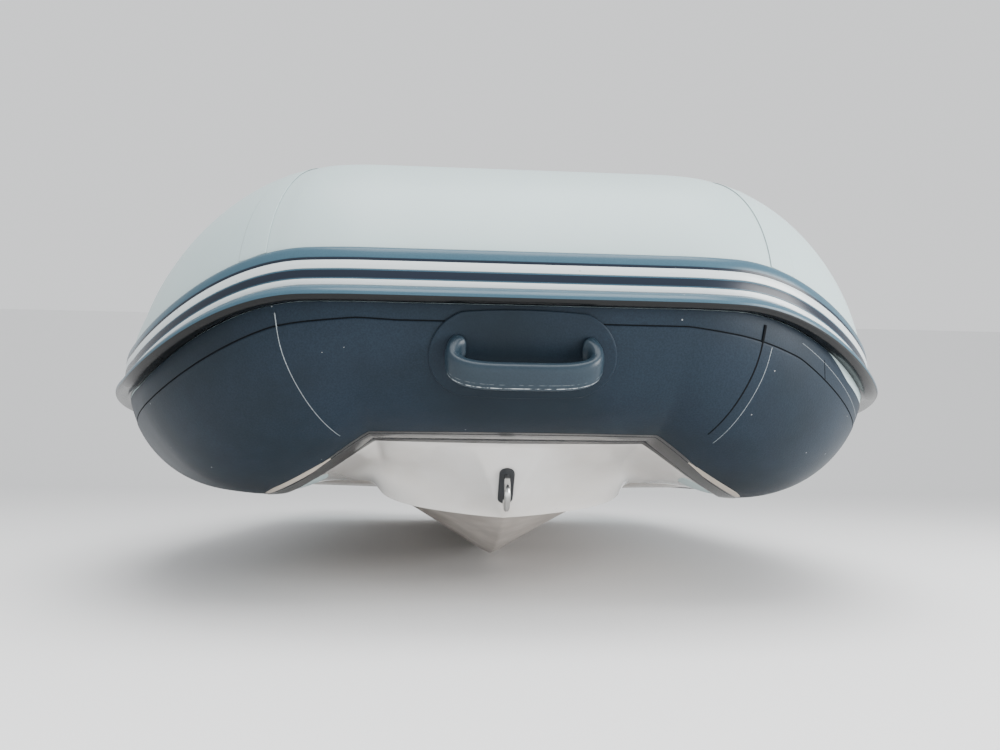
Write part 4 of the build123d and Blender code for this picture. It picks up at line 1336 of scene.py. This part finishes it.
# ---- the moulded hull -----------------------------------------------------------------------
@dataclass(frozen=True)
class MouldedHull:
    """The white V hull: a stem facet, hollow cheeks, a knuckle, chine flats and a straight keel.

    Its surface is one grid. Columns run out from the stem, u from -1 to 1. Rows run down the
    front from the landing on the tube to the knuckle, then aft along the bottom to the transom.
    """

    length: float = 2.43
    flange: float = 0.93
    facet: float = 0.058
    wall: float = 0.004
    wall_top: float = 0.262
    tape_angle: float = 93.2

    def landing(self, u: Array) -> Array:
        """The line on the tube's underside where the hull is bonded: x, distance aft, height.

        Args:
            u: columns.

        Returns:
            A point for each column.
        """
        s = np.abs(u) * 0.50
        points = PATH.skin(s, -np.radians(92.6 + 5 * u * u), 0.0024)
        points[..., 1] -= PATH.bow_y
        return points

    def knuckle(self, u: Array) -> Array:
        """The front's lower edge: round the cheek, then straight out to the tube.

        Args:
            u: columns.

        Returns:
            A point for each column: x, distance aft, height.
        """
        known = np.array([0.0, 0.12, 0.22, 0.32, 0.42, 0.50, 0.60, 0.80, 1.0])
        x = [0.0, 0.055, 0.110, 0.165, 0.213, 0.243, 0.285, 0.365, 0.440]
        aft = [0.170, 0.171, 0.177, 0.192, 0.224, 0.280, 0.305, 0.305, 0.300]
        z = [0.138, 0.1425, 0.149, 0.158, 0.174, 0.197, 0.199, 0.199, 0.197]
        return smooth_curve(np.abs(u), known, np.stack([x, aft, z], -1))

    def section(self, u: Array, aft: Array) -> Array:
        """The bottom's section: straight from keel to chine, then out to the landing.

        Args:
            u: columns, the chine at a half.
            aft: distance aft of the bow tube's axis at each grid point.

        Returns:
            x and height at each grid point.
        """
        known = np.array([0.17, 0.23, 0.30, 0.40, 0.51, 0.76, 1.05, 1.70, 2.43])
        keel = [0.138, 0.112, 0.092, 0.064, 0.0435, 0.0185, 0.004, 0.0005, 0.0005]
        chine_x = [0.225, 0.238, 0.246, 0.249, 0.252, 0.264, 0.286, 0.325, 0.365]
        chine_z = [0.188, 0.192, 0.194, 0.191, 0.187, 0.182, 0.175, 0.168, 0.165]
        land_x = [0.420, 0.430, 0.440, 0.460, 0.480, 0.510, 0.520, 0.530, 0.530]
        land_z = [0.198, 0.198, 0.197, 0.194, 0.190, 0.186, 0.181, 0.177, 0.175]
        table = np.stack([keel, chine_x, chine_z, land_x, land_z], -1)
        row = smooth_curve(aft.ravel(), known, table).reshape(*aft.shape, 5)
        inner, outer = np.clip(u / 0.5, 0, 1), np.clip((u - 0.5) / 0.5, 0, 1)
        x = row[..., 1] * inner + (row[..., 3] - row[..., 1]) * outer
        z = row[..., 0] + (row[..., 2] - row[..., 0]) * inner + (row[..., 4] - row[..., 2]) * outer
        return np.stack([x, z + 0.0025 * np.exp(-((x / 0.012) ** 2))], -1)

    def front(self, u: Array, t: Array) -> Array:
        """The front between knuckle (t = 0) and landing (t = 1).

        A flange overhangs by 40 mm at the top. Under it the aft distance runs
        a_flange + (a_knuckle - a_flange) g(t) with
        g = 1 - t + hollow sin(pi t) - bulge sin(2 pi t), and beside the stem facet the surface
        steps back by 42 mm (1 - exp(-(x - facet width) / 40 mm)) 4 t (1 - t).

        Args:
            u: columns.
            t: rows.

        Returns:
            A grid of points: x, distance aft, height.
        """
        low, high = self.knuckle(u)[None], self.landing(u)[None]
        rise = np.clip(t / self.flange, 0, 1)[:, None]
        out = np.abs(u)[None]
        cheek = np.exp(-(((out - 0.40) / 0.16) ** 2))
        g = 1 - rise + 0.10 * cheek * np.sin(math.pi * rise) - 0.11 * cheek * np.sin(2 * math.pi * rise)
        x = low[..., 0] + (high[..., 0] - low[..., 0]) * rise
        z = low[..., 2] + (high[..., 2] - low[..., 2]) * t[:, None]
        beside = np.maximum(x - self.facet * rise, 0)
        step = 0.042 * (1 - np.exp(-beside / 0.040)) * 4 * rise * (1 - rise) * np.exp(-((out / 0.8) ** 4))
        past_flange = np.clip((t - self.flange) / (1 - self.flange), 0, 1)[:, None]
        ahead = high[..., 1] + 0.040 * (1 - past_flange) * (1 - 0.7 * out)
        return np.stack([x, ahead + (low[..., 1] - ahead) * g + step, z], -1)

    def bottom(self, u: Array, v: Array) -> Array:
        """The bottom from the knuckle (v = 0) aft to the transom (v = 1).

        It starts on the knuckle and settles to the plain section by exp(-(a - a_knuckle) / 45 mm).

        Args:
            u: columns.
            v: rows.

        Returns:
            A grid of points: x, distance aft, height.
        """
        edge = self.knuckle(u)[None]
        aft = edge[..., 1] + (self.length - edge[..., 1]) * v[:, None] ** 1.7
        out = np.broadcast_to(np.abs(u)[None], aft.shape)
        plain = self.section(out, aft)
        start = self.section(out[:1], np.broadcast_to(edge[..., 1], out[:1].shape))
        settle = np.exp(-(aft - edge[..., 1]) / 0.045)
        x = plain[..., 0] + (edge[..., 0] - start[..., 0]) * settle
        z = plain[..., 1] + (edge[..., 2] - start[..., 1]) * settle
        return np.stack([x, aft, z], -1)

    def build(self, finishes: Finishes) -> None:
        """Makes the hull's skin, 4 mm thick, and the tapes over its landing.

        Args:
            finishes: the boat's materials.
        """
        u = np.linspace(-1, 1, 201)
        t = np.linspace(1, 0, 50) ** 1.3
        v = np.linspace(0, 1, 140)[1:]
        points = np.concatenate([self.front(u, t), self.bottom(u, v)], 0)
        points[..., 0] *= np.where(u < 0, -1, 1)
        points[..., 1] += PATH.bow_y
        points = self.with_walls(points)
        rows, columns = points.shape[:2]
        piece = make_piece("hull_moulding", points, grid_quads(rows, columns)[:, ::-1])
        finish_piece(piece, finishes.gelcoat, ("hull_shell",))
        piece.data.materials.append(finishes.keel)
        piece.data.materials.append(finishes.tape)
        # The bottom rows take the darker bottom finish (painted shade plus dirt); the flange rows take the
        # tape.
        row_slot = (np.arange(rows - 1) >= len(t)).astype(np.int32)
        row_slot[: int((t > self.flange).sum()) - 1] = 2
        piece.data.polygons.foreach_set("material_index", row_slot.repeat(columns - 1))
        thickness = piece.modifiers.new("thickness", "SOLIDIFY")
        thickness.thickness, thickness.offset = self.wall, -1.0
        self.tapes(finishes)

    def with_walls(self, points: Array) -> Array:
        """The grid with five more columns at each side, rising from its edge to the tube.

        Args:
            points: the hull's grid.

        Returns:
            The wider grid.
        """
        lift = np.linspace(0, 1, 6)[1:]
        walls = []
        for column, sign in ((0, -1), (-1, 1)):
            rim = points[:, column, None, :].repeat(5, 1)
            rim[..., 2] += np.maximum(self.wall_top - rim[..., 2], 0) * lift
            rim[..., 0] -= self.wall * sign * lift
            walls.append(rim)
        return np.concatenate([walls[0][:, ::-1], points, walls[1]], 1)

    def tapes(self, finishes: Finishes) -> None:
        """The tapes between tube and hull, narrower past the bow, and the edging at each side.

        Args:
            finishes: the boat's materials.
        """
        panels = WearPanels()
        s = PATH.stations(-0.44, 0.44, 0.006)
        low = -np.radians(self.tape_angle + 5 * (s / 0.5) ** 2)
        width = np.radians(14.5 - 7.0 * np.clip((np.abs(s) - 0.22) / 0.10, 0, 1))
        panels.sheet("hull_tape", s, low, low + width, 0.0036, finishes.tape)
        panels.sheet("hull_tape_upper", s, low + 0.76 * width, low + 1.2 * width, 0.0029, finishes.tape)
        for side in Side:
            run = np.sort(side * PATH.stations(0.262, 0.42, 0.006))
            edge = -np.radians(self.tape_angle + 5 * (run / 0.5) ** 2 - 8.6)
            narrow = 0.062 * np.clip((0.424 - np.abs(run)) / 0.05, 0.05, 1) ** 0.5
            name = f"{side.name.lower()}_edging"
            panels.sheet(name, run, edge, edge + narrow, 0.0032, finishes.flange)


class Fittings:
    """The CAD pieces whose shape is already right, dressed in their finishes."""

    def build(self, finishes: Finishes) -> None:
        """Gives each remaining node its material.

        Args:
            finishes: the boat's materials.
        """
        for name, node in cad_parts.items():
            if node.hide_render:
                continue
            finish = self.choose(name, finishes)
            if node.material_slots:
                for slot in node.material_slots:
                    slot.material = finish
            else:
                node.data.materials.append(finish)
            LOG.info("%s dressed in %s", name, finish.name)

    def choose(self, name: str, finishes: Finishes) -> bpy.types.Material:
        """The finish for one node, by what it is.

        Args:
            name: the node's name.
            finishes: the boat's materials.

        Returns:
            Its material.
        """
        rules = (
            (("eye_plate",), finishes.nylon),
            (("eye", "fastenings", "hinge_pins"), finishes.steel),
            (("valve",), finishes.valve),
            (("thwart_brackets", "rowlock", "latch", "drain"), finishes.nylon),
            (("motor_pad",), finishes.pad),
            (("thwart",), finishes.seat),
            (("deck",), finishes.deck),
            (("locker", "transom"), finishes.gelcoat),
            (("strake",), finishes.strake),
        )
        for words, finish in rules:
            if any(word in name for word in words):
                return finish
        return finishes.tube


@dataclass(frozen=True)
class Studio:
    """Plain pale floor, soft lights and the camera."""

    eye: Point = (-0.0955, -2.4969, 0.2134)
    yaw: float = 0.0642
    pitch: float = 0.1310
    roll: float = 0.0103
    lens: float = 27.205

    def floor(self) -> None:
        """A wide pale sheet that curves up far behind."""
        bend = np.linspace(0.05, math.pi / 2, 20)
        y = np.concatenate([np.linspace(-8, 8, 30), 8 + 3 * np.sin(bend)])
        z = np.concatenate([np.zeros(30), 3 - 3 * np.cos(bend)])
        x = np.linspace(-12, 12, 12)
        grid = np.stack(np.broadcast_arrays(x[None, :], y[:, None], z[:, None] - 0.0005), -1)
        piece = make_piece("studio_floor", grid, grid_quads(50, 12))
        material = bpy.data.materials.new("floor_paper")
        material.use_nodes = True
        shader = material.node_tree.nodes["Principled BSDF"]
        shader.inputs["Base Color"].default_value = (0.86, 0.86, 0.86, 1)
        shader.inputs["Roughness"].default_value = 0.9
        piece.data.materials.append(material)

    def lamp(
        self,
        name: str,
        place: Point,
        at: Point,
        size: float,
        power: float,
    ) -> None:
        """An area light that faces a point.

        Args:
            name: the light's name.
            place: where it is.
            at: what it faces.
            size: its width in metres.
            power: its power in watts.
        """
        data = bpy.data.lights.new(name, "AREA")
        data.size, data.energy = size, power
        lamp = bpy.data.objects.new(name, data)
        lamp.location = place
        lamp.rotation_euler = (Vector(at) - Vector(place)).to_track_quat("-Z", "Y").to_euler()
        bpy.context.scene.collection.objects.link(lamp)

    def camera(self) -> None:
        """The camera, from its place, heading, pitch and roll."""
        data = bpy.data.cameras.new("camera")
        data.lens, data.sensor_width = self.lens, 36.0
        camera = bpy.data.objects.new("camera", data)
        cy, sy = math.cos(self.yaw), math.sin(self.yaw)
        cp, sp = math.cos(self.pitch), math.sin(self.pitch)
        ahead = np.array([sy * cp, cy * cp, sp])
        right = np.array([cy, -sy, 0.0])
        up = np.cross(right, ahead)
        cr, sr = math.cos(self.roll), math.sin(self.roll)
        level, rise = right * cr + up * sr, -right * sr + up * cr
        turned = np.stack([level, rise, -ahead], 1)
        camera.matrix_world = Matrix.Translation(self.eye) @ Matrix(turned.tolist()).to_4x4()
        bpy.context.scene.collection.objects.link(camera)
        bpy.context.scene.camera = camera

    def build(self) -> None:
        """Makes the floor, world, lights and camera."""
        self.floor()
        world = bpy.data.worlds.new("studio")
        world.use_nodes = True
        world.node_tree.nodes["Background"].inputs[0].default_value = (0.97, 0.985, 1.0, 1)
        world.node_tree.nodes["Background"].inputs[1].default_value = 1.1
        bpy.context.scene.world = world
        self.lamp("overhead", (0.3, -2.4, 3.4), (0, -1.0, 0.4), 3.0, 190)
        self.lamp("port_fill", (2.8, -2.9, 0.7), (0.5, -1.1, 0.4), 1.6, 150)
        self.camera()


def main() -> None:
    """Builds every sub-assembly in order."""
    logging.basicConfig(level=logging.INFO, format="%(message)s")
    finishes = Finishes()
    InflatedTubes().build(finishes)
    WearPanels().build(finishes)
    RubbingStrake().build(finishes)
    Handles().build(finishes)
    MouldedHull().build(finishes)
    Fittings().build(finishes)
    Studio().build()


if __name__ == "__main__":
    main()
